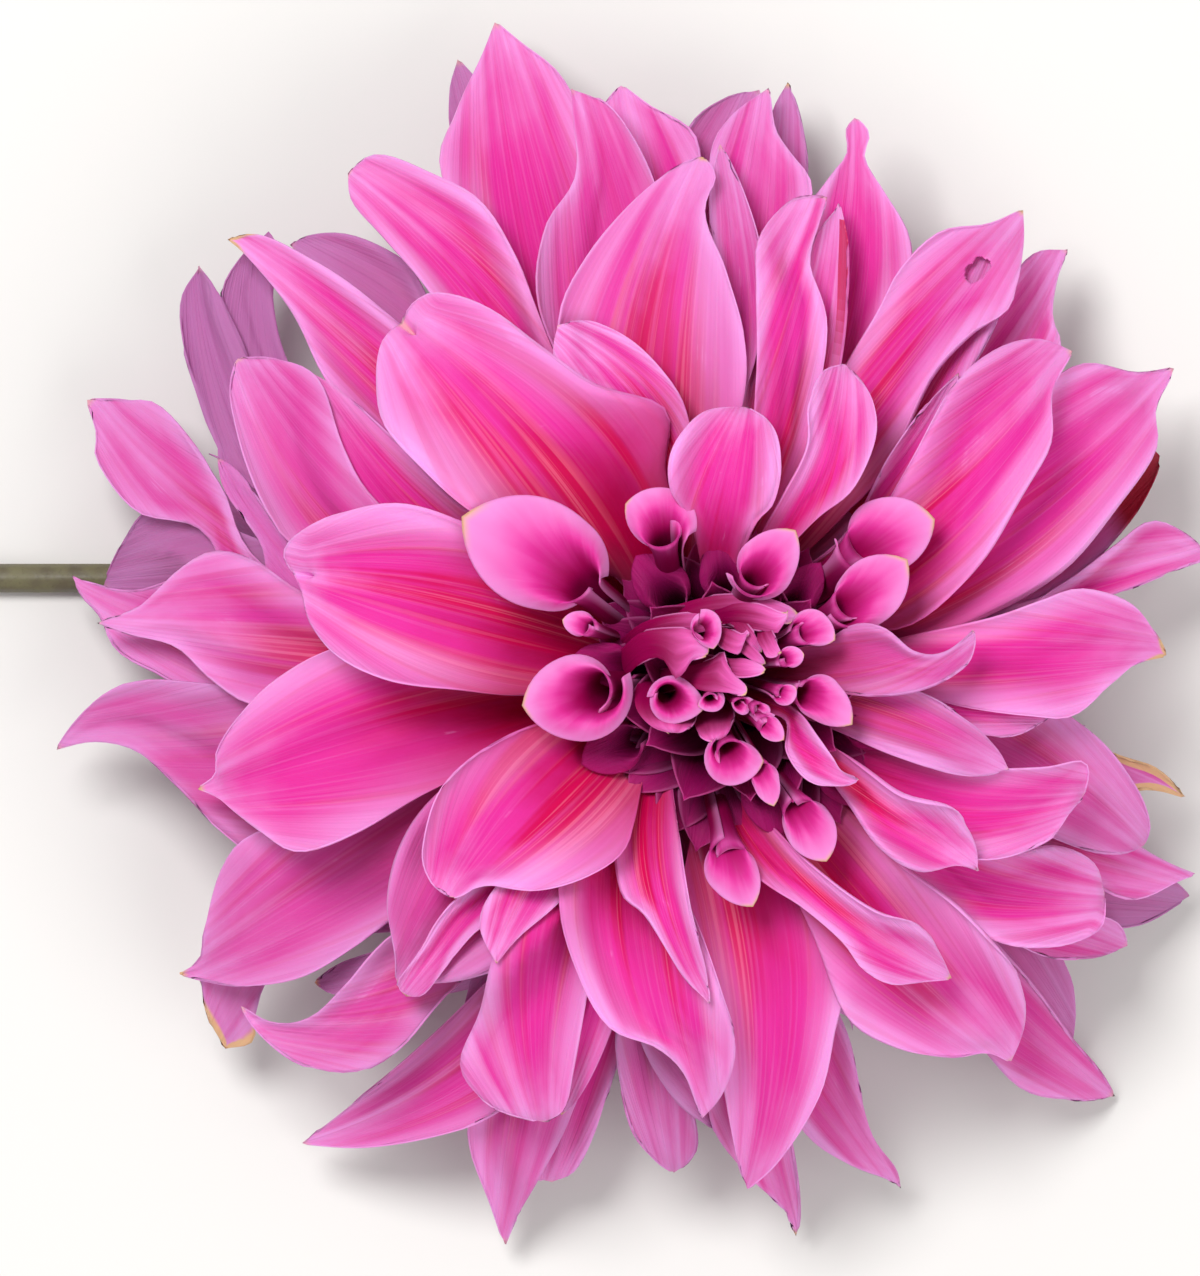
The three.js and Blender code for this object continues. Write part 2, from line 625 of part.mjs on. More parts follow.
// Upright petals that wrap the centre, between it and the rolled ones, with their tips a little
// under the crown.
const SHEATHS = {
  count: 9,
  radii: [9, 17, 23], // from the eye, of a sheath's root, middle and tip
  wander: 1.5,
  foot: 62,
  middle: 71,
  tipDepth: 9,
  width: 12,
  cup: 60,
};

// Small pointed florets that close over the eye.
const LEAFLETS = [
  { tip: [-10, 4], via: [-13, 7], width: 9 },
  { tip: [-13, 14], via: [-12, 10], width: 8 },
  { tip: [2, -1], via: [-3, 3], width: 7 },
  { tip: [1, 8], via: [-4, 8], width: 6 },
  { tip: [7, 6], via: [0, 9], width: 6 },
  { tip: [6, 3], via: [-1, 4], width: 5 },
  { tip: [6, 14], via: [0, 12], width: 8 },
  { tip: [-10, -8], via: [-11, -3], width: 7 },
];
const LEAFLET_CUP = 110;
const LEAFLET_DEPTH = 10; // of a leaflet's middle under the crown
const LEAFLET_TIP_DEPTH = 2;
const LEAFLET_ROOT = { along: 0.75, rise: 6 };

function smooth(from, to, x) {
  const t = Math.min(Math.max((x - from) / (to - from), 0), 1);
  return t * t * (3 - 2 * t);
}

function plainGeometry(geometry) {
  geometry.deleteAttribute("normal");
  geometry.deleteAttribute("uv");
  return mergeVertices(geometry, 1e-4);
}

function solid(geometry) {
  const merged = plainGeometry(geometry);
  const mesh = new wasm.Mesh({
    numProp: 3,
    vertProperties: merged.attributes.position.array,
    triVerts: new Uint32Array(merged.index.array),
  });
  return new wasm.Manifold(mesh);
}

function geometryOf(body) {
  const mesh = body.getMesh();
  const places = new Float32Array(mesh.numVert * 3);
  for (let i = 0; i < mesh.numVert; i++) {
    places.set(mesh.vertProperties.subarray(i * mesh.numProp, i * mesh.numProp + 3), i * 3);
  }
  const geometry = new THREE.BufferGeometry();
  geometry.setAttribute("position", new THREE.BufferAttribute(places, 3));
  geometry.setIndex(new THREE.BufferAttribute(new Uint32Array(mesh.triVerts), 1));
  geometry.computeVertexNormals();
  return geometry;
}

function joined(bodies) {
  return bodies.reduce((whole, body) => whole.add(body));
}

// The main body alone, with the hollows that fusing seals filled and loose scraps dropped.
function oneBody(body) {
  const parts = body.decompose().filter((part) => part.volume() > 0);
  return parts.reduce((largest, part) => (part.volume() > largest.volume() ? part : largest));
}

// How far out a plan place lies, 0 at the eye and 1 at the bloom's outline.
function share(x, y) {
  const [cx, cy] = BLOOM_CENTRE;
  const a = BLOOM_RADIUS ** 2 - cx * cx - cy * cy;
  const b = x * cx + y * cy;
  return (Math.sqrt(b * b + a * (x * x + y * y)) - b) / a;
}

function crown(x, y) {
  const s = share(x, y);
  const k = CROWN.findIndex(([out]) => out >= s);
  if (k < 0) return CROWN[CROWN.length - 1][1];
  if (k === 0) return CROWN[0][1];
  const [s0, z0] = CROWN[k - 1];
  const [s1, z1] = CROWN[k];
  return z0 + ((z1 - z0) * (s - s0)) / (s1 - s0);
}

// A place on the receptacle, given round its own leaning axis.
function onHub(bearing, radius, along) {
  const p = new THREE.Vector3(radius * Math.cos(bearing), radius * Math.sin(bearing), along);
  return p.applyQuaternion(LEAN).add(new THREE.Vector3(...HUB));
}

function rootOf(bearing, layer) {
  const along = Math.max(ROOT_TOP - ROOT_DROP * layer, ROOT_LOWEST);
  return onHub(bearing, ROOT_RADIUS + ROOT_SPREAD * layer, along);
}

function mean(places) {
  const sum = places.reduce(([x0, y0], [x, y]) => [x0 + x, y0 + y]);
  return sum.map((value) => value / places.length);
}

function dot([x0, y0], [x1, y1]) {
  return x0 * x1 + y0 * y1;
}

// A value that runs from start, through middle at the halfway point, to end.
function arched(u, start, middle, end) {
  const bend = 2 * middle - (start + end) / 2;
  return (1 - u) ** 2 * start + 2 * u * (1 - u) * bend + u * u * end;
}

// How far u lies into the last part of a blade: 0 before it, 1 at the end.
function endShare(u) {
  return Math.max((u - TIP_START) / (1 - TIP_START), 0);
}

// An open petal's face as rows of points from root to tip, each from its right edge to its left.
function petalGrid(petal, seed, rows, columns) {
  const { tip, layer, cup, tipHeight, tipCurl = TIP_CURL, fold = TROUGH } = petal;
  const [x, y] = mean([mean(petal.one), mean(petal.other)]);
  const bearing = Math.atan2(y - HUB[1], x - HUB[0]);
  const root = rootOf(bearing, layer);
  const across = [-Math.sin(bearing), Math.cos(bearing)];
  const sideOf = (places) => dot(mean(places), across);
  const oneIsLeft = sideOf(petal.one) > sideOf(petal.other);
  const [left, right] = oneIsLeft ? [petal.one, petal.other] : [petal.other, petal.one];
  const edges = [[right, -CLAW_WIDTH / 2], [left, CLAW_WIDTH / 2]].map(([places, claw]) => {
    const base = [root.x + across[0] * claw, root.y + across[1] * claw];
    return new THREE.CatmullRomCurve3([base, ...places, tip].map((p) => new THREE.Vector3(...p, 0)));
  });
  const drop = LAYER_DROP * layer;
  const via = edges[0].getPointAt(0.5).lerp(edges[1].getPointAt(0.5), 0.5);
  const viaHeight = Math.max(crown(via.x, via.y) - drop, LOWEST_MIDDLE);
  const endHeight = tipHeight ?? Math.max(crown(...tip) - drop, LOWEST_TIP);
  const grid = [];
  for (let i = 0; i <= rows; i++) {
    const u = i / rows;
    const [near, far] = edges.map((edge) => edge.getPointAt(u));
    const width = near.distanceTo(far);
    const turn = (ROOT_CUP + (cup - ROOT_CUP) * smooth(0.05, 0.5, u)) * DEGREE;
    const height = arched(u, root.z, viaHeight, endHeight) + tipCurl * endShare(u) ** 2;
    const size = Math.min(width / BROAD, 1);
    const row = [];
    for (let j = 0; j <= columns; j++) {
      const v = (2 * j) / columns - 1;
      const point = near.clone().lerp(far, j / columns);
      const rise = (width / 2) * Math.tan(turn / 4) * Math.abs(v) ** (2 * fold);
      const ripple = Math.sin((8 + 2 * Math.cos(seed)) * u + seed + 1.4 * v) * smooth(0.25, 0.55, u);
      const groove = v ? 0 : -GROOVE * Math.sin(Math.PI * u);
      point.z = height + rise + size * (groove + WAVE * Math.abs(v) ** 2.2 * ripple * (1 - u ** 6));
      row.push(point);
    }
    grid.push(row);
  }
  return grid;
}

// A roll's inner face as rows of points from foot to rim, each round its mouth.
function rollGrid(roll, rows, columns) {
  const { mouth, radius, tip, foot, layer, sweep, spiral, lip = LIP, throat = THROAT } = roll;
  const top = crown(...mouth) - LAYER_DROP * layer;
  const start = ROLL_FOOT - ROLL_FOOT_DROP * layer;
  const bearing = Math.atan2(tip[1] - mouth[1], tip[0] - mouth[0]);
  const reach = Math.max(Math.hypot(tip[0] - mouth[0], tip[1] - mouth[1]) - radius, 0);
  const [left, right] = sweep.map((angle) => Math.min(angle, MOST_SWEEP));
  const grid = [];
  for (let i = 0; i <= rows; i++) {
    const u = i / rows;
    const [x, y] = [0, 1].map((k) => arched(u, foot[k], (3 * foot[k] + 5 * mouth[k]) / 8, mouth[k]));
    const flare = Math.max((u - 0.55) / 0.45, 0) ** 1.8;
    const height = start + (top - start) * Math.sin((Math.min(1.12 * u, 1) * Math.PI) / 2);
    const row = [];
    for (let j = 0; j <= columns; j++) {
      const v = (2 * j) / columns - 1;
      const turn = (v < 0 ? left : right) * v;
      const point = Math.max(1 - Math.abs(turn) / lip, 0) ** 1.7;
      const winding = 1 + (spiral * turn) / 180;
      const opening = throat * (0.6 + 0.4 * u) + (1 - throat) * flare;
      const ring = radius * opening * winding + flare * point * reach;
      const angle = bearing + turn * DEGREE;
      const dip = 0.6 * u * u * v * v + 0.3 * endShare(u) ** 2;
      const place = [x + ring * Math.cos(angle), y + ring * Math.sin(angle)];
      row.push(new THREE.Vector3(...place, height - radius * dip));
    }
    grid.push(row);
  }
  return grid;
}

// A plain blade's face along a bent midrib, widest in its middle and pointed at its tip.
function bladeGrid(line, { width, cup, claw }, rows, columns) {
  const bend = line.via.clone().multiplyScalar(2);
  bend.addScaledVector(line.root, -0.5).addScaledVector(line.tip, -0.5);
  const midrib = new THREE.QuadraticBezierCurve3(line.root, bend, line.tip);
  const up = new THREE.Vector3(0, 0, 1);
  const grid = [];
  for (let i = 0; i <= rows; i++) {
    const u = i / rows;
    const tangent = midrib.getTangent(u);
    const side = up.clone().cross(tangent).normalize();
    const back = tangent.clone().cross(side);
    const breadth = claw * (1 - u) + Math.sin(Math.min(1.05 * u, 1) * Math.PI) ** 0.8;
    const half = (width / 2) * breadth;
    const row = [];
    for (let j = 0; j <= columns; j++) {
      const v = (2 * j) / columns - 1;
      const point = midrib.getPoint(u).addScaledVector(side, v * half);
      row.push(point.addScaledVector(back, half * Math.tan((cup * DEGREE) / 4) * v * v));
    }
    grid.push(row);
  }
  return grid;
}

// A closed blade from a grid of points, thick inside and sharp at its rim. Both faces are split
// alike. A pointed blade has its last row drawn into its middle point.
function blade(grid, pointed) {
  const rows = grid.length - 1;
  const columns = grid[0].length - 1;
  const lastRow = pointed ? rows - 1 : rows;
  const places = [];
  const upper = [];
  const lower = [];
  const put = (p) => places.push(p.x, p.y, p.z) / 3 - 1;
  for (let i = 0; i <= lastRow; i++) {
    upper.push([]);
    lower.push([]);
    for (let j = 0; j <= columns; j++) {
      const top = put(grid[i][j]);
      upper[i].push(top);
      if (i === 0 || i === rows || j === 0 || j === columns) {
        lower[i].push(top);
        continue;
      }
      const along = grid[i + 1][j].clone().sub(grid[i - 1][j]);
      const over = grid[i][j + 1].clone().sub(grid[i][j - 1]);
      const normal = along.cross(over).normalize();
      lower[i].push(put(grid[i][j].clone().addScaledVector(normal, -PETAL_THICKNESS)));
    }
  }
  const faces = [];
  const add = (a, b, c, flip) => faces.push(...(flip ? [a, c, b] : [a, b, c]));
  const point = pointed ? put(grid[rows][Math.floor(columns / 2)]) : 0;
  for (const [net, flip] of [[upper, false], [lower, true]]) {
    for (let j = 0; j < columns; j++) {
      for (let i = 0; i < lastRow; i++) {
        const [a, b] = [net[i][j], net[i][j + 1]];
        const [d, c] = [net[i + 1][j], net[i + 1][j + 1]];
        if (j < columns / 2) {
          add(a, c, b, flip);
          add(a, d, c, flip);
        } else {
          add(a, d, b, flip);
          add(d, c, b, flip);
        }
      }
      if (pointed) add(net[lastRow][j], point, net[lastRow][j + 1], flip);
    }
  }
  const geometry = new THREE.BufferGeometry();
  geometry.setAttribute("position", new THREE.Float32BufferAttribute(places, 3));
  geometry.setIndex(faces);
  return solid(geometry);
}

// Heights that the petals laid so far reach, on a square net over the bloom.
function newPile() {
  return new Float32Array(PILE_SIDE ** 2).fill(-1);
}

function pileCell(point) {
  const column = Math.round(point.x / PILE_CELL + PILE_SIDE / 2);
  const row = Math.round(point.y / PILE_CELL + PILE_SIDE / 2);
  return row * PILE_SIDE + column;
}

// Calls visit with points all over each patch of a grid, and with the patch's four corners.
function overPatches(grid, from, visit) {
  const samples = 6;
  for (let i = from; i < grid.length - 1; i++) {
    for (let j = 0; j < grid[0].length - 1; j++) {
      const corners = [grid[i][j], grid[i][j + 1], grid[i + 1][j], grid[i + 1][j + 1]];
      for (let a = 0; a <= samples; a++) {
        for (let b = 0; b <= samples; b++) {
          const near = corners[0].clone().lerp(corners[1], b / samples);
          const far = corners[2].clone().lerp(corners[3], b / samples);
          visit(near.lerp(far, a / samples), corners);
        }
      }
    }
  }
}

// Lifts a petal clear of those that lie under it, past its root, and adds it to the pile.
function layOn(pile, grid) {
  const lifts = new Map();
  overPatches(grid, 0, (point, corners) => {
    const need = pile[pileCell(point)] + PILE_GAP - point.z;
    if (need <= 0) return;
    for (const corner of corners) lifts.set(corner, Math.max(lifts.get(corner) || 0, need));
  });
  for (const [corner, lift] of lifts) corner.z += lift;
  overPatches(grid, 1, (point) => {
    const cell = pileCell(point);
    pile[cell] = Math.max(pile[cell], point.z);
  });
  return grid;
}

function lathe(profile, sides) {
  const points = profile.map(([r, z]) => new THREE.Vector2(r, z));
  const geometry = new THREE.LatheGeometry(points, sides);
  geometry.rotateX(Math.PI / 2);
  return geometry;
}

function leaning(geometry, foot) {
  geometry.applyQuaternion(LEAN);
  geometry.translate(foot.x, foot.y, foot.z);
  return solid(geometry);
}

function grown(profile, by) {
  const top = Math.max(...profile.map(([, z]) => z));
  return profile.map(([r, z]) => [r > 0 ? r + by : 0, z === top ? z + by : z - by]);
}

// Faces of the petals at the back of the bloom.
function backGrids() {
  const grids = [];
  for (const ring of BACK_RINGS) {
    for (let k = 0; k < ring.count; k++) {
      const bearing = ring.turn + k * GOLDEN_ANGLE;
      const reach = ring.reach + ring.spread * Math.sin(2.4 * k);
      const [tip, via] = [1, 0.56].map((part) => [
        part * reach * (BLOOM_CENTRE[0] + BLOOM_RADIUS * Math.cos(bearing)),
        part * reach * (BLOOM_CENTRE[1] + BLOOM_RADIUS * Math.sin(bearing)),
      ]);
      const viaHeight = Math.max(crown(...via) - LAYER_DROP * ring.layer, LOWEST_MIDDLE);
      const line = {
        root: rootOf(Math.atan2(via[1] - HUB[1], via[0] - HUB[0]), ring.layer),
        via: new THREE.Vector3(...via, viaHeight),
        tip: new THREE.Vector3(...tip, LOWEST_TIP),
      };
      const shape = { width: ring.width, cup: ring.cup, claw: 0.3 };
      grids.push(bladeGrid(line, shape, PETAL_ROWS, BACK_COLUMNS));
    }
  }
  return grids;
}

// Faces of the upright petals round the centre.
function sheathGrids() {
  const { count, radii, wander, foot, middle, tipDepth, width, cup } = SHEATHS;
  const grids = [];
  for (let k = 0; k < count; k++) {
    const bearing = k * GOLDEN_ANGLE;
    const reach = radii.map((radius) => radius + wander * Math.sin(2 * k));
    const [root, via, tip] = reach.map((radius) => {
      return new THREE.Vector3(radius * Math.cos(bearing), radius * Math.sin(bearing), middle);
    });
    const line = { root: root.setZ(foot), via, tip: tip.setZ(crown(tip.x, tip.y) - tipDepth) };
    grids.push(bladeGrid(line, { width, cup, claw: 0.6 }, 3, 2));
  }
  return grids;
}

function ground() {
  const block = new THREE.BoxGeometry(GROUND_SIDE, GROUND_SIDE, GROUND_DEPTH);
  block.translate(0, 0, -GROUND_DEPTH / 2);
  return solid(block);
}

function openPetals() {
  const petals = [...PETALS].sort((a, b) => b.layer - a.layer);
  const pile = newPile();
  const faces = petals.map((petal, k) => petalGrid(petal, 1.7 * k, PETAL_ROWS, PETAL_COLUMNS));
  const blades = [...backGrids(), ...faces].map((grid) => blade(layOn(pile, grid), true));
  const sheaths = sheathGrids().map((grid) => blade(grid, true));
  const rolls = ROLLED_PETALS.map((roll) => blade(rollGrid(roll, ROLL_ROWS, ROLL_COLUMNS), false));
  const hub = leaning(lathe(HUB_PROFILE, 20), new THREE.Vector3(...HUB));
  const bowl = leaning(lathe(grown(BOWL_PROFILE, CLEARANCE), 20), BOWL_FOOT);
  return oneBody(joined([hub, ...blades, ...sheaths, ...rolls]).subtract(bowl).subtract(ground()));
}

function leaflet({ tip, via, width }) {
  const root = new THREE.Vector3(...via, 0).lerp(BOWL_FOOT, LEAFLET_ROOT.along);
  const line = {
    root: root.setZ(BOWL_FOOT.z + LEAFLET_ROOT.rise),
    via: new THREE.Vector3(...via, crown(...via) - LEAFLET_DEPTH),
    tip: new THREE.Vector3(...tip, crown(...tip) - LEAFLET_TIP_DEPTH),
  };
  return blade(bladeGrid(line, { width, cup: LEAFLET_CUP, claw: 0.5 }, 4, 4), true);
}

function centreFlorets() {
  const rolls = ROLLED_FLORETS.map((roll) => {
    const columns = roll.radius > WIDE_ROLL ? WIDE_ROLL_COLUMNS : ROLL_COLUMNS;
    return blade(rollGrid(roll, ROLL_ROWS, columns), false);
  });
  const core = leaning(lathe(CENTRE_CORE_PROFILE, 16), BOWL_FOOT);
  const bowl = leaning(lathe(BOWL_PROFILE, 20), BOWL_FOOT);
  return oneBody(joined([core, ...LEAFLETS.map(leaflet), ...rolls]).intersect(bowl));
}

function bract(bearing, { reach, width, start, end }) {
  const { radius, sink, arch, middle, cup } = BRACT_SHAPE;
  const line = {
    root: onHub(bearing, radius, start - sink),
    via: onHub(bearing, radius + reach * middle, (start + end) / 2 + arch),
    tip: onHub(bearing, radius + reach, end),
  };
  return blade(bladeGrid(line, { width, cup, claw: 0.5 }, 4, 2), true);
}

function calyx() {
  const bodies = [leaning(lathe(CALYX_PROFILE, 16), new THREE.Vector3(...HUB))];
  for (const ring of BRACT_RINGS) {
    for (let k = 0; k < ring.count; k++) {
      bodies.push(bract((ring.first + ring.turn * k) * DEGREE, ring));
    }
  }
  return oneBody(joined(bodies));
}

function stem() {
  const section = new THREE.Shape();
  for (let k = 0; k < STEM_SIDES; k++) {
    const angle = (2 * Math.PI * k) / STEM_SIDES;
    const x = STEM_RADIUS * Math.cos(angle);
    const y = STEM_RADIUS * Math.sin(angle);
    if (k) section.lineTo(x, y);
    else section.moveTo(x, y);
  }
  const path = new THREE.CatmullRomCurve3(STEM_PATH.map((p) => new THREE.Vector3(...p)));
  const tube = new THREE.ExtrudeGeometry(section, {
    steps: STEM_STEPS,
    extrudePath: path,
    bevelEnabled: false,
  });
  const seat = leaning(lathe(grown(CALYX_PROFILE, CLEARANCE), 16), new THREE.Vector3(...HUB));
  return oneBody(solid(tube).subtract(seat).subtract(ground()));
}

function piece(name, body, colour, roughness) {
  const material = new THREE.MeshStandardMaterial({ color: colour, roughness, metalness: 0 });
  const mesh = new THREE.Mesh(geometryOf(body), material);
  mesh.name = name;
  return mesh;
}

const group = new THREE.Group();
group.add(piece("petals", openPetals(), "#f04fa0", 0.55));
group.add(piece("centre_florets", centreFlorets(), "#b8458f", 0.55));
group.add(piece("calyx", calyx(), "#6f8a45", 0.6));
group.add(piece("stem", stem(), "#7d7658", 0.6));

// The part's origin is under the middle of its box.
const box = new THREE.Box3().setFromObject(group);
const middle = box.getCenter(new THREE.Vector3());
group.position.set(-middle.x, -middle.y, -box.min.z);

export default group;
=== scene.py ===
"""A cut double dahlia, laid face up on its back petals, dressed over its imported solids."""

import math

import bmesh
import bpy
import numpy as np
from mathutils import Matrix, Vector


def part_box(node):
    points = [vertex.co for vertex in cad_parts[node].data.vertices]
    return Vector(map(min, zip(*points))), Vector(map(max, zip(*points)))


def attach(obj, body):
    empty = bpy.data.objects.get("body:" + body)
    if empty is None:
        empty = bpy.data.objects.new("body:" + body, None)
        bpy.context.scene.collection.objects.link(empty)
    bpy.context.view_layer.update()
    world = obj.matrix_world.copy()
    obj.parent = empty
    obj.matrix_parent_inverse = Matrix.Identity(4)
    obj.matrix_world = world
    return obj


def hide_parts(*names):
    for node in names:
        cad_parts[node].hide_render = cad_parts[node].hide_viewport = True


bl_info = {
    "name": "Double dahlia",
    "version": (1, 0, 0),
    "blender": (4, 5, 0),
    "location": "3D View > Sidebar > Dahlia",
    "description": "Builds the petals, centre, calyx and stem of a cut dahlia over its solids",
    "category": "Add Mesh",
}

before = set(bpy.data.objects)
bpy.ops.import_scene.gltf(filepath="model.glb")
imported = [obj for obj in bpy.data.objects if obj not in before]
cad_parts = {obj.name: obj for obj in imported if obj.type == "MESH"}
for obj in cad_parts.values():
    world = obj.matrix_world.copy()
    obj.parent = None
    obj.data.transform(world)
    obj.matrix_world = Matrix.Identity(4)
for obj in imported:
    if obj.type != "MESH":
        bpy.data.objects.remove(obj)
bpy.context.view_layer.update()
MM = 0.001
GOLDEN_ANGLE = math.radians(137.508)
GOLDEN_SHARE = 0.618

# The bloom's outline in plan is near enough a circle about a point left of the eye,
# because the bloom leans to the right. All plan places are in mm from the eye.
BLOOM_RADIUS = 120
BLOOM_CENTRE = (-24, 10)
# Height of the crown of petals, by how far out a point lies: 0 at the eye, 1 at the outline.
CROWN_OUT = (0, 0.15, 0.3, 0.5, 0.7, 0.85, 1, 1.12, 1.3)
CROWN_HEIGHT = (88, 95, 95, 88, 77, 66, 52, 38, 22)
# How far each layer lies under the crown, and the lowest that a petal's tip and middle come.
LAYER_DROP = 8
LOWEST_TIP = 0.6
LOWEST_MIDDLE = 9

# The receptacle, which all petals grow from: its place, its lean, and its profile as radius and
# height. A petal's root lies lower and further out on it with each layer.
HUB = Vector((-12, 4, 45))
LEAN = Vector((0, 0, 1)).rotation_difference(Vector((0.3, -0.1, 0.95)))
HUB_PROFILE = (
    (0, -22), (13, -22), (17, -19), (16, -12), (14, -5), (12, 1.5), (9.5, 8), (7, 13), (0, 15)
)
ROOT_TOP = 12
ROOT_DROP = 6.4
ROOT_LOWEST = -18
ROOT_RADIUS = 4.5
ROOT_SPREAD = 2.2

# How wide a petal's claw is, how its edges roll, as a radius and the share of the way across
# where the roll starts, the width that its ribs and waves are given for, the share of its length
# that its tip takes, how its rows close up towards the tip, and the radius of a hole in it.
CLAW_WIDTH = 6
ROLL_RADIUS = 1.6
ROLL_START = 0.72
RELIEF_WIDTH = 25
TIP_SHARE = 0.2
ROW_CLOSING = 1.25
HOLE_RADIUS = 2.4

# The pile that petals are laid on is a map of heights in plan: its cell and its side in cells,
# the clearance between petals, how many cells round a point are looked at, how many rounds
# smooth a petal's lift, and how much finer a petal is drawn into the map.
PILE_CELL = 1.0
PILE_SIDE = 320
PILE_GAP = 0.7
PILE_REACH = 2
PILE_ROUNDS = 14
PILE_DETAIL = 4

# Rows from root to tip, and columns from the midrib to an edge, of each kind of blade.
PETAL_GRID = (40, 11)
BACK_GRID = (20, 6)
SHEATH_GRID = (16, 6)
GAP_ROLL_GRID = (20, 12)
ROLLED_PETAL_GRID = (30, 24)
ROLLED_FLORET_GRID = (24, 18)
LEAFLET_GRID = (20, 7)
BRACT_GRID = (18, 5)
# A petal's waves and streaks depend on its seed, which steps by this much from one to the next.
PETAL_SEED = 1.7
FLORET_SEED = 1.3
# How tan a petal's tip may be where its row doesn't say.
MOST_DRY = 0.6
# The layers that the petals of the back and of the middle start at.
BACK_LAYER = 4.2
MIDDLE_LAYER = 2.5

# What a petal is like where its row doesn't say. Cup is the angle in degrees that its
# cross-section turns through, positive where its edges rise, and fold the section's shape, from 1
# for a round cup to 0.5 for a sharp fold. Roll is how far its one and its other edge curl, in
# degrees, up and in where positive. Rib, groove and wave are the heights of its ribs, of the
# groove along its midrib and of its waving edges. tip_curl lifts its tip and draws it back, and
# notch draws in the middle of its end. Hole is the place of a hole in it. Age and dark_tip run
# from 0 to 1, for a mauve old petal and for one with a withered, dark red end.
PLAIN_PETAL = dict(
    cup=60,
    roll=(0, 0),
    fold=0.9,
    rib=1.5,
    groove=2.4,
    wave=2.6,
    tip_curl=1.5,
    notch=0,
    hole=None,
    age=0.0,
    dark_tip=0.0,
)
PLAIN_LEAFLET = {**PLAIN_PETAL, "cup": -60, "rib": 0.2, "groove": 0.4, "wave": 0.8}

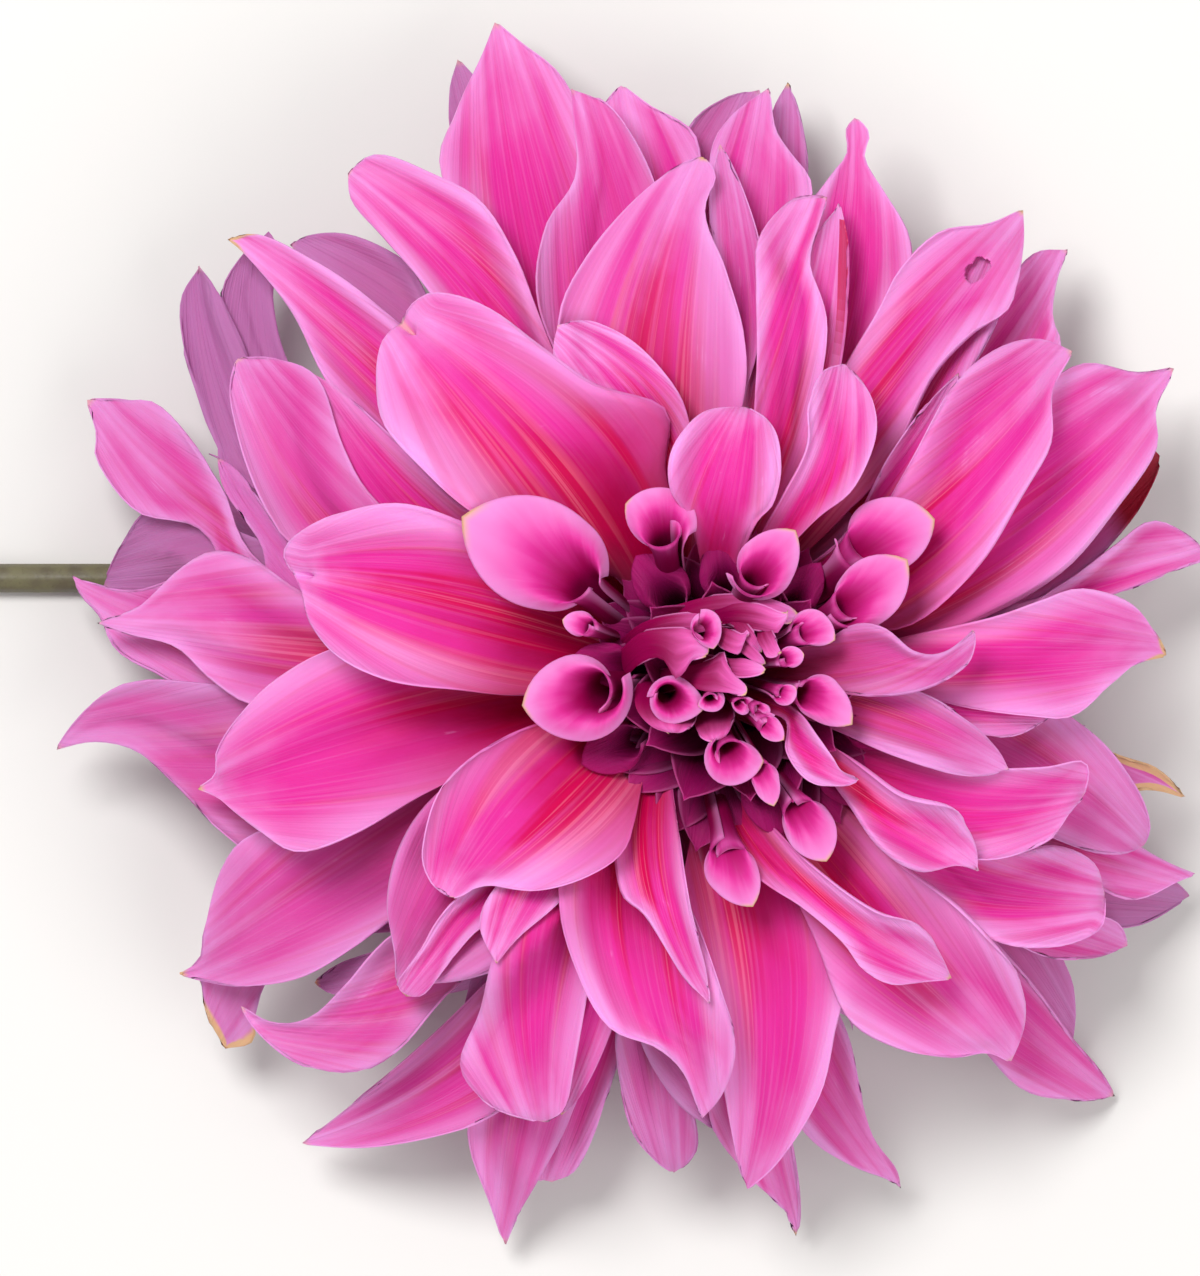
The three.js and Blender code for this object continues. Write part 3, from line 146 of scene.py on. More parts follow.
# Open petals, from the bloom's upper left round below it to its top, and then those next to the
# centre. All places are plan places. A petal has a tip and two edges, one and other, which run
# from its base to its tip. Layer counts down from the crown. Dry is how tan its tip is: past 1,
# the tan runs on along its edges. A tip_height takes the place of the height that its layer gives.
PETALS = [
    dict(tip=(-132, 59), layer=5, cup=50, age=0.3, roll=(60, 0),
         one=((-90, 22), (-104, 41), (-109, 49), (-117, 57.5), (-124, 58.5)),
         other=((-92, 15), (-108, 32), (-121, 36), (-129, 46), (-129.5, 52))),
    dict(tip=(-105, 47), layer=4.6, age=0.2,
         one=((-86, 14), (-96, 30), (-103, 40)),
         other=((-80, 18), (-90, 29), (-97, 39), (-101, 44))),
    dict(tip=(-109, 86), layer=5, cup=70, age=1,
         one=((-96, 40), (-105, 50), (-109, 60), (-112, 70), (-112.5, 79)),
         other=((-88, 40), (-96, 54), (-99, 67), (-103, 76), (-106, 82))),
    dict(tip=(-95, 93), layer=5.3, age=1,
         one=((-86, 46), (-98, 64), (-103, 75), (-104, 81), (-100, 88)),
         other=((-78, 50), (-90, 64), (-94, 78), (-93, 88))),
    dict(tip=(-104, 91.5), layer=3.6, roll=(50, 20), tip_curl=3, dry=1.2,
         one=((-44, 48), (-60, 66), (-76, 80), (-88, 87.5), (-97, 91.5)),
         other=((-48, 26), (-71, 49), (-82, 61), (-90, 76), (-99, 87))),
    dict(tip=(-91, 90), layer=4.9, cup=40, age=0.9, roll=(60, 0),
         one=((-52, 62), (-62, 78), (-66, 85), (-72, 89), (-79, 91.5), (-86, 91.5)),
         other=((-52, 50), (-70, 68), (-82, 80))),
    dict(tip=(-101, 67), layer=3.2, age=0.25, roll=(30, 30),
         one=((-58, 26), (-73, 38), (-79, 48), (-83, 60), (-87, 64.5), (-94, 66.5)),
         other=((-66, 16), (-88, 28), (-94, 35), (-98.5, 45), (-101.5, 56), (-102, 62))),
    dict(tip=(-86, 64), layer=3.4, cup=50,
         one=((-44, 32), (-56, 37), (-70, 51), (-80, 60)),
         other=((-54, 18), (-72, 30), (-81, 44), (-87, 58))),
    dict(tip=(-129, 21), layer=5.1, cup=40, age=1, tip_height=9,
         one=((-90, 28), (-110, 36), (-119, 36), (-124, 30), (-127.5, 24)),
         other=((-90, 12), (-110, 16), (-122, 19))),
    dict(tip=(-136, 23.5), layer=4.8, cup=50, age=0.2, tip_height=11, tip_curl=3,
         one=((-85, 18), (-105, 24), (-121, 20), (-131, 21.5)),
         other=((-84, 2), (-108, 0), (-117, 3.5), (-125, 8), (-129, 15), (-133, 19))),
    dict(tip=(-130, 13.5), layer=3.6, cup=-20, age=0.15, roll=(-40, -40), tip_curl=2,
         one=((-74, 14), (-88, 20), (-97, 26), (-105, 28), (-112, 24.5), (-121, 16.5)),
         other=((-74, 0), (-88, -3), (-98, -3), (-106, 2), (-113, 8.5), (-122, 11))),
    dict(tip=(-139, -12), layer=4.4, cup=50, age=0.45, roll=(90, 0), tip_curl=3,
         one=((-84, 0), (-104, 1), (-120, 2), (-128, -1), (-134, -6.5)),
         other=((-80, -26), (-96, -32), (-104, -28), (-112, -20), (-121, -12.5), (-130, -10.5))),
    dict(tip=(-109, -20), layer=3, roll=(20, 120), tip_curl=1, dry=1,
         one=((-52, 2), (-70, 9), (-82, 8), (-93, 2), (-100, -5), (-104.4, -12), (-105, -17)),
         other=((-44, -12), (-62, -20), (-76, -28), (-87, -32), (-94, -29.5),
                (-101, -24.5), (-104.4, -21.8))),
    dict(tip=(-89.6, 23.4), layer=2, roll=(70, 20), tip_curl=1, groove=4, notch=6,
         one=((-34, 22), (-50, 31), (-66, 37), (-79, 35.5), (-87, 32), (-91, 27.6)),
         other=((-36, 0), (-46, -1), (-56, 0), (-70, 2), (-80, 6.5), (-85.4, 13), (-87.6, 19.6))),
    dict(tip=(-113, -57.4), layer=4, age=0.3, cup=50, roll=(20, 40), tip_curl=1, dry=1,
         one=((-62, -18), (-84, -25), (-98, -29), (-104, -36), (-107.4, -48), (-108.4, -54)),
         other=((-52, -34), (-68, -45), (-78, -52), (-88, -57.5), (-99, -59.5), (-107, -58.6))),
    dict(tip=(-104, -73), layer=5, cup=50, age=0.5, dry=1.5,
         one=((-76, -36), (-102, -48), (-108, -56), (-107, -66)),
         other=((-70, -46), (-92, -56), (-97, -64), (-98, -71))),
    dict(tip=(-86, -59), layer=4.5, age=1, dry=1,
         one=((-50, -36), (-68, -50), (-80, -55)),
         other=((-50, -46), (-66, -58), (-80, -61))),
    dict(tip=(-102, -64), layer=3.8, age=0.3, cup=110, roll=(60, 0), tip_curl=4,
         one=((-54, -38), (-70, -49), (-79, -59), (-86, -65.5), (-94, -67)),
         other=((-44, -46), (-59, -61), (-68, -71.5), (-77, -76.5), (-88, -75), (-97, -69))),
    dict(tip=(-70, -60.5), layer=3, age=0.25, cup=90, fold=0.5, roll=(20, 40), tip_curl=5,
         one=((-46, -10), (-61, -21), (-68, -31), (-70.5, -42), (-69, -53)),
         other=((-24, -30), (-36, -43), (-46, -54), (-54, -57.5), (-63, -59))),
    dict(tip=(-67, -61.5), layer=2.7, cup=150, roll=(120, 120), tip_curl=1, dry=1, groove=0,
         one=((-48, -34), (-58, -43), (-64, -52), (-68.4, -58.6)),
         other=((-44, -40), (-54, -49), (-60, -57), (-63.4, -61))),
    dict(tip=(-59, -43), layer=2, cup=70, roll=(0, 110), tip_curl=5,
         one=((-32, -4), (-48, -10), (-59, -19), (-63, -31), (-62, -38)),
         other=((-19, -8), (-20, -20), (-23, -31), (-30, -36.5), (-40, -39.5), (-51, -39))),
    dict(tip=(-49, -55), layer=2.6, cup=80, dry=1,
         one=((-38, -28), (-48, -38), (-52, -46)),
         other=((-28, -32), (-36, -42), (-44, -49))),
    dict(tip=(-89, -92), layer=4.8, age=0.15, tip_curl=2,
         one=((-38, -44), (-52, -60), (-66, -73.5), (-78, -83.5)),
         other=((-28, -56), (-42, -78), (-50, -85.5), (-61, -89.5), (-75, -92))),
    dict(tip=(-39, -88), layer=3, cup=-40, roll=(0, 40), tip_curl=3, rib=1,
         one=((-36, -32), (-48, -50), (-52, -64), (-56, -75), (-50, -83)),
         other=((-24, -36), (-29, -52), (-31, -64), (-33, -75), (-35, -84))),
    dict(tip=(-47.5, -113), layer=5, age=0.2, cup=50, rib=1, tip_curl=2,
         one=((-42, -66), (-53, -84), (-54, -92), (-50, -104)),
         other=((-28, -66), (-34, -86), (-40, -98), (-45, -107))),
    dict(tip=(-38, -100), layer=5.2, cup=40,
         one=((-34, -66), (-44, -86), (-43, -97)),
         other=((-20, -62), (-25, -76), (-29, -89), (-33, -97))),
    dict(tip=(-36, -86), layer=4, cup=70, dry=1,
         one=((-28, -48), (-36, -68), (-38, -78)),
         other=((-20, -50), (-25, -66), (-29, -76), (-33, -83))),
    dict(tip=(-13, -98), layer=5, cup=110, age=0.5,
         one=((-22, -56), (-25, -70), (-22, -87), (-17, -94.5)),
         other=((-12, -56), (-11, -76), (-8.5, -90), (-10, -95))),
    dict(tip=(-7, -87), layer=2.6, roll=(100, 0), tip_curl=3,
         one=((-34, -24), (-36, -42), (-32, -57), (-26, -67), (-17, -71), (-11, -77)),
         other=((-17, -28), (-9, -46), (-4, -60), (-1, -71), (-3, -80))),
    dict(tip=(2, -91), layer=5, cup=40, age=0.7,
         one=((-22, -56), (-20, -70), (-14, -81), (-8, -86.5)),
         other=((-6, -56), (0, -74), (3, -84))),
    dict(tip=(-6, -63), layer=2.1, cup=70, roll=(20, 0),
         one=((-21, -14), (-25, -28), (-24, -40), (-19, -45), (-12, -56)),
         other=((-14, -14), (-12, -32), (-10, -44), (-7, -55))),
    dict(tip=(1.5, -101), layer=3, cup=70, roll=(60, 20),
         one=((-9, -22), (-12, -42), (-8, -60), (-4, -76), (-1, -92)),
         other=((8, -22), (17, -42), (21, -57), (19, -68), (16, -81), (8, -94))),
    dict(tip=(12, -112), layer=5, tip_curl=3, dry=1,
         one=((-6, -66), (-6, -86), (2, -98), (9, -105)),
         other=((6, -66), (10, -88), (12, -100), (12.5, -108))),
    dict(tip=(33.5, -102), layer=4.4, age=0.2, roll=(60, 0), tip_curl=3,
         one=((2, -54), (8, -80), (14, -90), (22, -95.5), (30, -99)),
         other=((12, -50), (21, -68), (24, -80), (27, -90), (32, -97))),
    dict(tip=(43, -58), layer=2, cup=110, roll=(130, 60), tip_curl=2, dry=1,
         one=((0, -18), (8, -29), (18, -38), (27, -44), (36, -47), (40, -52.6)),
         other=((-8, -22), (2, -36), (12, -43), (20, -50), (24, -55.4), (30, -58.6), (37, -58))),
    dict(tip=(56, -76), layer=3, roll=(140, 30), tip_curl=4,
         one=((18, -20), (30, -33), (42, -42), (50, -50), (56, -58), (57.5, -66)),
         other=((4, -28), (14, -48), (21, -65), (31, -71.5), (42, -73.5), (50, -73))),
    dict(tip=(77, -83), layer=4.4, age=0.15, tip_curl=2,
         one=((38, -38), (56, -56), (66, -69), (73, -77)),
         other=((30, -50), (47, -70), (57, -80.5), (68, -83))),
    dict(tip=(68, -72), layer=4.8, cup=40, age=0.7,
         one=((38, -32), (58, -44), (66, -56), (68, -64)),
         other=((32, -42), (50, -58), (60, -68))),
    dict(tip=(74, -41), layer=3.2, roll=(30, 60),
         one=((34, -20), (50, -31.5), (63, -31), (71, -34.5)),
         other=((28, -32), (48, -49), (62, -51.5), (72, -48))),
    dict(tip=(79, -52), layer=4.2,
         one=((42, -28), (66, -43), (76, -47)),
         other=((38, -38), (58, -52), (70, -54))),
    dict(tip=(92, -42), layer=5, cup=40, age=0.9,
         one=((50, -24), (73, -37), (86, -38)),
         other=((48, -34), (68, -46), (80, -47.5))),
    dict(tip=(94, -38), layer=4.2, cup=80, roll=(60, 0), tip_curl=4,
         one=((46, -8), (66, -21), (80, -31), (87, -35)),
         other=((42, -20), (62, -32), (73, -40), (80, -42), (89, -39))),
    dict(tip=(91, -22), layer=4.6, cup=80, age=0.3, dry=2.2, tip_curl=2,
         one=((50, -2), (74, -12.5), (84, -16)),
         other=((48, -10), (70, -20), (83, -20))),
    dict(tip=(82, -32), layer=3.6, age=0.35, roll=(40, 0), tip_curl=2,
         one=((40, 2), (58, -1), (71, -9), (79, -19), (82.5, -27)),
         other=((36, -12), (52, -24), (68, -31.5), (77, -33))),
    dict(tip=(71, -21), layer=2.4, cup=80, roll=(30, 0), tip_curl=5,
         one=((14, -5), (28, -10), (46, -15), (60, -15.5), (69, -14.5)),
         other=((10, -12), (26, -24), (40, -31.5), (50, -33.5), (61, -30), (67, -24))),
    dict(tip=(54, -16), layer=2.2, cup=70, age=0.3, roll=(0, 60),
         one=((18, 2), (34, 0), (45, -6), (51, -11.5)),
         other=((14, -6), (30, -13), (44, -17))),
    dict(tip=(63, -5), layer=3,
         one=((24, 6), (44, 3), (58, 0)),
         other=((22, -4), (42, -8), (54, -9))),
    dict(tip=(87, 7), layer=2.8, roll=(60, 110), tip_curl=3, dry=1.2,
         one=((18, 8), (34, 11), (50, 14.5), (60, 18), (68, 20.5), (78, 17.5), (84, 11)),
         other=((20, 1), (35, -1), (46, -3.5), (58, -5), (66, -5), (74, 1), (80, 5.5))),
    dict(tip=(96, 27), layer=4, cup=70, roll=(60, 0), tip_curl=3,
         one=((48, 14), (64, 21), (75, 29), (83, 34), (91, 31)),
         other=((50, 6), (68, 16), (80, 21), (90, 25))),
    dict(tip=(86, 48), layer=4.6, cup=110, age=0.5, dark_tip=1, tip_curl=3,
         one=((46, 30), (64, 44), (74, 50), (81, 51)),
         other=((50, 16), (66, 22), (77.5, 33), (84, 43))),
    dict(tip=(89, 66), layer=3, roll=(20, 40), tip_curl=4,
         one=((34, 28), (48, 46), (60, 60), (69, 65.5), (80, 64)),
         other=((34, 10), (50, 15), (65, 24), (76, 37), (83.5, 48), (84, 57))),
    dict(tip=(67.5, 69), layer=2.3, roll=(0, 60), tip_curl=3,
         one=((20, 24), (32, 42), (42, 60), (50, 67.5), (59, 70.5)),
         other=((24, 11), (36, 14), (48, 25), (56, 38), (62, 49), (62.5, 60))),
    dict(tip=(44, 64), layer=2.8, cup=110,
         one=((18, 28), (30, 47), (38, 58)),
         other=((22, 24), (33, 39), (41, 54))),
    dict(tip=(67, 90), layer=4.2, roll=(0, 60), tip_curl=3,
         one=((34, 50), (48, 72), (58, 87)),
         other=((42, 42), (58, 58), (64.5, 68), (63, 75), (64, 83))),
    dict(tip=(58, 97.5), layer=3, roll=(20, 140), tip_curl=3, dry=1, hole=(47.6, 84.2),
         one=((8, 40), (18, 60), (27, 75), (32, 84), (40, 91.5), (50, 93.5)),
         other=((18, 32), (30, 46), (38, 62), (46, 71), (54, 77), (57, 88))),
    dict(tip=(51.5, 90.5), layer=3.2, cup=40, wave=0.5,
         one=((24, 52), (34, 70), (41.5, 82.5), (46, 88.5)),
         other=((34, 48), (46, 64), (53, 78), (54, 86))),
    dict(tip=(23.5, 118), layer=3.8, cup=80, roll=(100, 40), tip_curl=6,
         one=((4, 50), (9, 76), (13, 95), (18, 103), (21.5, 108), (21.5, 114)),
         other=((18, 48), (28, 70), (34, 82), (34, 91), (29, 100), (25, 107), (26, 113))),
    dict(tip=(18, 101), layer=2.6, cup=80, roll=(30, 100), tip_curl=5,
         one=((0, 40), (3, 62), (3, 80), (3.5, 90), (10, 98)),
         other=((10, 40), (15, 58), (17, 73), (14, 85), (16, 94))),
    dict(tip=(20, 98), layer=2.9, cup=90,
         one=((8, 46), (13, 70), (14, 88)),
         other=((14, 44), (20, 66), (21.5, 86))),
    dict(tip=(6, 85), layer=2.8, cup=110,
         one=((-2, 38), (0, 56), (2, 67), (3.5, 78)),
         other=((4, 38), (8, 57), (10, 74), (9, 81))),
    dict(tip=(-49.5, 136), layer=3.6, roll=(20, 30), tip_curl=3,
         one=((-36, 60), (-50, 84), (-60, 104), (-57, 116), (-52, 128)),
         other=((-24, 60), (-28, 84), (-28, 102), (-31, 114), (-36, 123.5), (-44, 130.5))),
    dict(tip=(-80, 105), layer=2.9, roll=(40, 20), tip_curl=4,
         one=((-28, 46), (-37, 67), (-45, 87), (-52, 98), (-62, 103.5), (-73, 107.5)),
         other=((-38, 38), (-50, 60), (-61, 78), (-71, 90), (-78, 98))),
    dict(tip=(-57, 128), layer=5, cup=50, age=0.9,
         one=((-46, 84), (-57, 108), (-58.5, 120)),
         other=((-38, 84), (-48, 108), (-52, 121))),
    dict(tip=(-34, 122), layer=3.1, cup=80, age=0.15, roll=(80, 20), tip_curl=3,
         one=((-30, 52), (-40, 76), (-39, 92), (-33, 103), (-33.5, 115)),
         other=((-20, 52), (-18, 76), (-16, 95), (-19, 106), (-26, 117))),
    dict(tip=(-7, 108), layer=2.2, cup=70, age=0.1, roll=(30, 100), dry=1, tip_curl=3,
         one=((-28, 44), (-35, 60), (-36, 75), (-31, 86), (-23, 96), (-14, 104)),
         other=((-6, 40), (0, 55), (1, 68), (-3, 83), (-7, 95), (-5, 103))),
    dict(tip=(-4, 110), layer=2.7, cup=90, age=0.25,
         one=((-8, 50), (-4, 75), (-6, 97)),
         other=((-2, 50), (3, 66), (5, 80), (3.5, 90), (0, 101))),
    dict(tip=(6, 122), layer=3.6, roll=(20, 60), tip_curl=2,
         one=((-8, 62), (-6, 90), (-6, 107), (-2, 115)),
         other=((4, 62), (12, 90), (14.5, 101), (10, 108), (7, 113))),
    dict(tip=(4, 121.5), layer=4.6, cup=50, age=0.6,
         one=((-14, 76), (-14, 100), (-10, 113), (-3, 119)),
         other=((0, 76), (6, 102), (6, 114))),
    dict(tip=(10, 124), layer=4.8, cup=50, age=0.6, dry=1, tip_curl=3,
         one=((2, 80), (5, 104), (6.5, 116)),
         other=((10, 80), (13.5, 102), (12.5, 114))),
    dict(tip=(-24, 123), layer=4.2, cup=50, tip_curl=3,
         one=((-24, 78), (-29, 104), (-28, 116)),
         other=((-10, 78), (-8, 98), (-9, 111), (-18, 117.5))),
    dict(tip=(-37, 73), layer=2.15, cup=15, roll=(0, 30), wave=0.2,
         one=((-17, 40), (-23, 55), (-30, 60), (-37, 66)),
         other=((-8, 40), (-10, 52), (-13, 60), (-21, 69), (-30, 73.5))),
    dict(tip=(-68, 73.6), layer=2, roll=(30, 30), tip_curl=1, notch=6,
         one=((-24, 22), (-40, 28), (-54, 36), (-63, 44), (-71, 53), (-72.6, 62), (-71.6, 69.6)),
         other=((-13, 32), (-15, 44), (-15, 56), (-29, 61), (-39, 68),
                (-50, 76), (-60, 79), (-65, 77.4))),
    dict(tip=(1, 57), layer=1.5, cup=70, roll=(30, 60),
         one=((-8, 22), (-10, 33), (-14, 40), (-13.5, 48), (-8, 55)),
         other=((-2, 22), (3, 33), (6.5, 37), (8, 44), (6.5, 52))),
    dict(tip=(21, 65.5), layer=1.6, cup=130, roll=(120, 30),
         one=((1, 26), (8, 38), (13, 48), (13.5, 57), (16, 63)),
         other=((6, 24), (15, 34), (22, 40), (26.5, 50), (26, 58))),
    dict(tip=(48, -36.5), layer=1.9, cup=120, roll=(150, 30), tip_curl=2,
         one=((16, -10), (24, -15), (32, -20.5), (42, -23.5), (46.5, -30)),
         other=((12, -12), (20, -21), (27, -31), (35, -36), (43, -35))),
    dict(tip=(47.5, 12.6), layer=1.6, age=0.4, roll=(40, 0), tip_curl=3,
         one=((14, 9), (22, 13), (28, 12.4), (34, 8), (40, 7.6)),
         other=((16, 0), (28, -1), (37, 0.6), (44, 4.6), (46.5, 8.6))),
    dict(tip=(24, -18), layer=1.2, cup=130, roll=(40, 120),
         one=((4, 0), (11, -4), (15, -9), (18, -13), (20, -16)),
         other=((2, -4), (9, -6), (9, -12), (13, -17.5), (19, -19))),
]

# Petals and florets rolled like a calla. The mouth is the middle of the roll's open end, with its
# radius, and the foot is where its tube starts. Sweep is how far the blade goes round the mouth
# on either side of the tip, in degrees, the left side first. Spiral draws the left side in, and
# the right side out, by that share of the radius for each half turn. Lip is how far to either
# side the tip's point spreads, in degrees, and throat the tube's share of the mouth's radius.
ROLLED_PETALS = [
    dict(mouth=(-37, 25), radius=10, tip=(-55.5, 34.5), foot=(-15, 8), layer=1.5,
         sweep=(165, 175), spiral=-0.1, lip=105, throat=0.4),
    dict(mouth=(27.5, 31), radius=7.6, tip=(38.5, 34), foot=(2, 10), layer=1.5,
         sweep=(190, 245), spiral=-0.18, lip=90),
    dict(mouth=(23.6, 18.5), radius=6, tip=(33, 26), foot=(4, 6), layer=1.4,
         sweep=(190, 240), spiral=-0.18, lip=100),
    dict(mouth=(4.2, 24.8), radius=6, tip=(10.8, 31.8), foot=(-5, 10), layer=1.1,
         sweep=(215, 250), spiral=-0.2),
    dict(mouth=(-16, 33.6), radius=6.2, tip=(-23, 37), foot=(-12, 14), layer=1.3,
         sweep=(170, 265), spiral=-0.2),
    dict(mouth=(-32, -0.5), radius=8.8, tip=(-43.5, -3), foot=(-16, 2), layer=1.3,
         sweep=(245, 190), spiral=0.22),
    dict(mouth=(-32, 13), radius=2.6, tip=(-35.5, 14), foot=(-18, 8), layer=1.9,
         sweep=(180, 200), spiral=-0.2),
    dict(mouth=(-1.5, -35.5), radius=5.2, tip=(2.4, -43), foot=(-8, -8), layer=1.9,
         sweep=(190, 240), spiral=-0.2),
    dict(mouth=(13.4, -26), radius=4.8, tip=(17, -34), foot=(-1, -6), layer=1.8,
         sweep=(165, 190), spiral=-0.15, lip=100),
]
ROLLED_FLORETS = [
    dict(mouth=(15.5, -1), radius=4.6, tip=(22, -6.8), foot=(-1, 2), layer=0.8,
         sweep=(175, 190), spiral=-0.1),
    dict(mouth=(-13.7, -2), radius=4.8, tip=(-7, -3.2), foot=(-17, 2), layer=0.6,
         sweep=(190, 182), spiral=0.07, lip=60),
    dict(mouth=(-7.2, 12.8), radius=3.1, tip=(-5.5, 8.2), foot=(-12, 8), layer=-0.1,
         sweep=(175, 175), spiral=0.1),
    dict(mouth=(-1.8, -13.8), radius=4.6, tip=(4.5, -14), foot=(-7, -1), layer=0.9,
         sweep=(240, 215), spiral=-0.22),
    dict(mouth=(4.5, -17.5), radius=2.8, tip=(6.5, -23), foot=(-4, -2), layer=1.2,
         sweep=(170, 170), spiral=0.2),
    dict(mouth=(14, 12.2), radius=3.5, tip=(18.6, 10), foot=(-3, 5), layer=0.8,
         sweep=(240, 205), spiral=0.22),
    dict(mouth=(9.9, 6.4), radius=2.2, tip=(12.4, 7.2), foot=(-2, 4), layer=0.25,
         sweep=(200, 200), spiral=0.25),
    dict(mouth=(8.7, -0.6), radius=2, tip=(10.8, 0.6), foot=(-2, 3), layer=0.2,
         sweep=(190, 210), spiral=-0.3),
    dict(mouth=(0.6, -3.4), radius=1.9, tip=(-2, -2.4), foot=(-6, 2), layer=0.15,
         sweep=(190, 240), spiral=-0.4),
    dict(mouth=(4.4, -4.2), radius=1.8, tip=(2.4, -2.8), foot=(-5, 2), layer=0.2,
         sweep=(200, 200), spiral=0.3),
    dict(mouth=(5.5, -7.6), radius=2.3, tip=(8.4, -9.8), foot=(-5, 1), layer=0.3,
         sweep=(200, 190), spiral=0.25),
    dict(mouth=(-5.8, -2), radius=2, tip=(-8.6, -3), foot=(-8, 2), layer=0.2,
         sweep=(200, 200), spiral=0.3),
]

# Small pointed florets that close over the eye, from the lowest. Their rows are like a petal's,
# with a root of their own, and where left out they are as in PLAIN_LEAFLET. A cup below 0 bends
# both edges down.
LEAFLETS = [
    dict(root=(-22, 6, 56), tip=(12.6, 14.4), layer=1.9, cup=-70,
         one=((-17, 15), (-10, 17.8), (-4, 18.9), (4, 18.6), (9.6, 16.8)),
         other=((-17, 9), (-10, 12), (-3, 14), (4, 14), (9.4, 13.4))),
    dict(root=(-24, 6, 58), tip=(-3, 13.6), layer=0.9, cup=-80,
         one=((-20, 13.2), (-14, 14.9), (-8, 15.2)),
         other=((-20, 8), (-14, 11), (-8, 11.5))),
    dict(root=(-12, 0, 54), tip=(-13, -9), layer=1.3,
         one=((-20, 2), (-21, -3), (-18, -7)),
         other=((-10, -1), (-9, -5), (-10.5, -7.5))),
    dict(root=(-8, 0, 54), tip=(-5, -10.5), layer=1.2,
         one=((-10, -2), (-9.5, -6), (-8, -9)),
         other=((-2, -3), (-1.6, -6), (-3, -9))),
    dict(root=(-12, 12, 60), tip=(10.5, 16), layer=0.7, cup=-70, tip_curl=3,
         one=((-5, 16), (-1, 17.3), (3.5, 17), (8, 15.3)),
         other=((-6, 12.5), (-0.5, 12.6), (3.5, 12), (6.9, 11.3), (8, 12.6), (9.2, 14.2))),
    dict(root=(-8, 14, 62), tip=(4.6, 7), layer=0.6,
         one=((-1, 15), (2, 12), (3.6, 9.4)),
         other=((-3, 13.2), (0.4, 10.4), (2.6, 8))),
    dict(root=(-9, 12, 62), tip=(5.4, 4.8), layer=0.5,
         one=((-2, 12.6), (1.4, 9.8), (4, 7)),
         other=((-4, 11), (-0.4, 7.8), (3, 5.4))),
    dict(root=(-1, 16, 62), tip=(8.5, 6.6), layer=0.35, cup=-50, tip_curl=3,
         one=((5, 13.4), (6.4, 10.8), (7.4, 8.6)),
         other=((2.6, 12.8), (3.1, 10), (4.2, 8), (5.2, 6.5))),
    dict(root=(-14, 5, 60), tip=(5.8, 4.1), layer=0.4, cup=-50, tip_curl=2,
         one=((-3, 6.4), (0.4, 6.4), (3.4, 5.4)),
         other=((-3.5, 3.4), (-0.5, 2.8), (2.8, 3.1))),
    dict(root=(-12, 12, 62), tip=(1, 9.2), layer=0.3, tip_curl=2.5,
         one=((-4.6, 12.8), (-2, 12), (0.2, 11), (1.3, 11.8)),
         other=((-5.4, 9.6), (-3.6, 8.2), (-1.6, 7.3), (-0.4, 7.3))),
    dict(root=(-20, 1, 60), tip=(2.4, -0.9), layer=0.35, tip_curl=3,
         one=((-11, 4.8), (-7, 5.8), (-4.7, 6.8), (-3.8, 8), (-3, 5.6), (-1.4, 3.2), (1.2, 0.9)),
         other=((-11, 0.4), (-7, -0.2), (-3, -0.4), (0.2, -0.9))),
    dict(root=(-26, 2, 58), tip=(-5.1, 7.2), layer=0.45, tip_curl=3,
         one=((-22.6, 9.4), (-19.6, 11.6), (-14, 12.3), (-10, 12), (-7, 10)),
         other=((-21.6, 4), (-18, 6.4), (-15.4, 6), (-14, 3.6), (-12.8, 2.3),
                (-11, 4), (-9.8, 6), (-7.4, 6.7))),
]

# Petals at the back of the bloom, which the measured ones hide. Their bearings turn by the golden
# angle, from the first one's in radians. Reach is how far out their tips lie, as a share of the
# outline, and spread how much that varies.
BACK_RINGS = [
    dict(count=18, reach=0.78, spread=0.06, width=26, layer=5.8, turn=0.4, tip_height=LOWEST_TIP),
    dict(count=21, reach=0.7, spread=0.1, width=22, layer=4.9, turn=1.1),
]
BACK_MIDDLE = 0.56

# Upright petals that wrap the centre, between it and the rolled ones, darkened by painted shade
# to stand for the shaded crevices there. Turn is the first one's bearing in degrees. Radii are
# those of root, middle and tip from the eye, foot and middle are the heights of root and middle,
# and tip_depth is how far the tip stays under the crown.
SHEATHS = [
    dict(count=13, turn=0, radii=(9, 16, 23), foot=58, middle=69, tip_depth=15, width=11, cup=1.1),
    dict(count=26, turn=12, radii=(8, 21, 32), foot=52, middle=64, tip_depth=28, width=10.5, cup=0.9),
]
SHEATH_STEP = 137.5
SHEATH_CLAW = 0.6
SHEATH_UNEVEN = 1.5

# Small rolls low in the gaps between the large ones, dark with painted shade: their bearings from
# the eye in degrees, how far out their mouths stand, and their layer. Their feet stand further in,
# and their tips reach out past the mouths, whose radius varies by up to 1 mm.
GAP_ROLLS = (
    (168, 26, 2.6),
    (205, 27, 2.9),
    (285, 22, 2.6),
    (318, 26, 2.6),
    (342, 26, 2.5),
    (14, 26, 2.5),
    (58, 22, 2.3),
    (98, 23, 2.5),
    (128, 26, 2.5),
)
GAP_ROLL_FOOT = 9
GAP_ROLL_REACH = 8
GAP_ROLL_RADIUS = 4.4

# The height of a roll's foot, less a step for each layer, and how its rows close up to the rim.
FOOT_HEIGHT = 58
FOOT_DROP = 9
RIM_CLOSING = 1.4

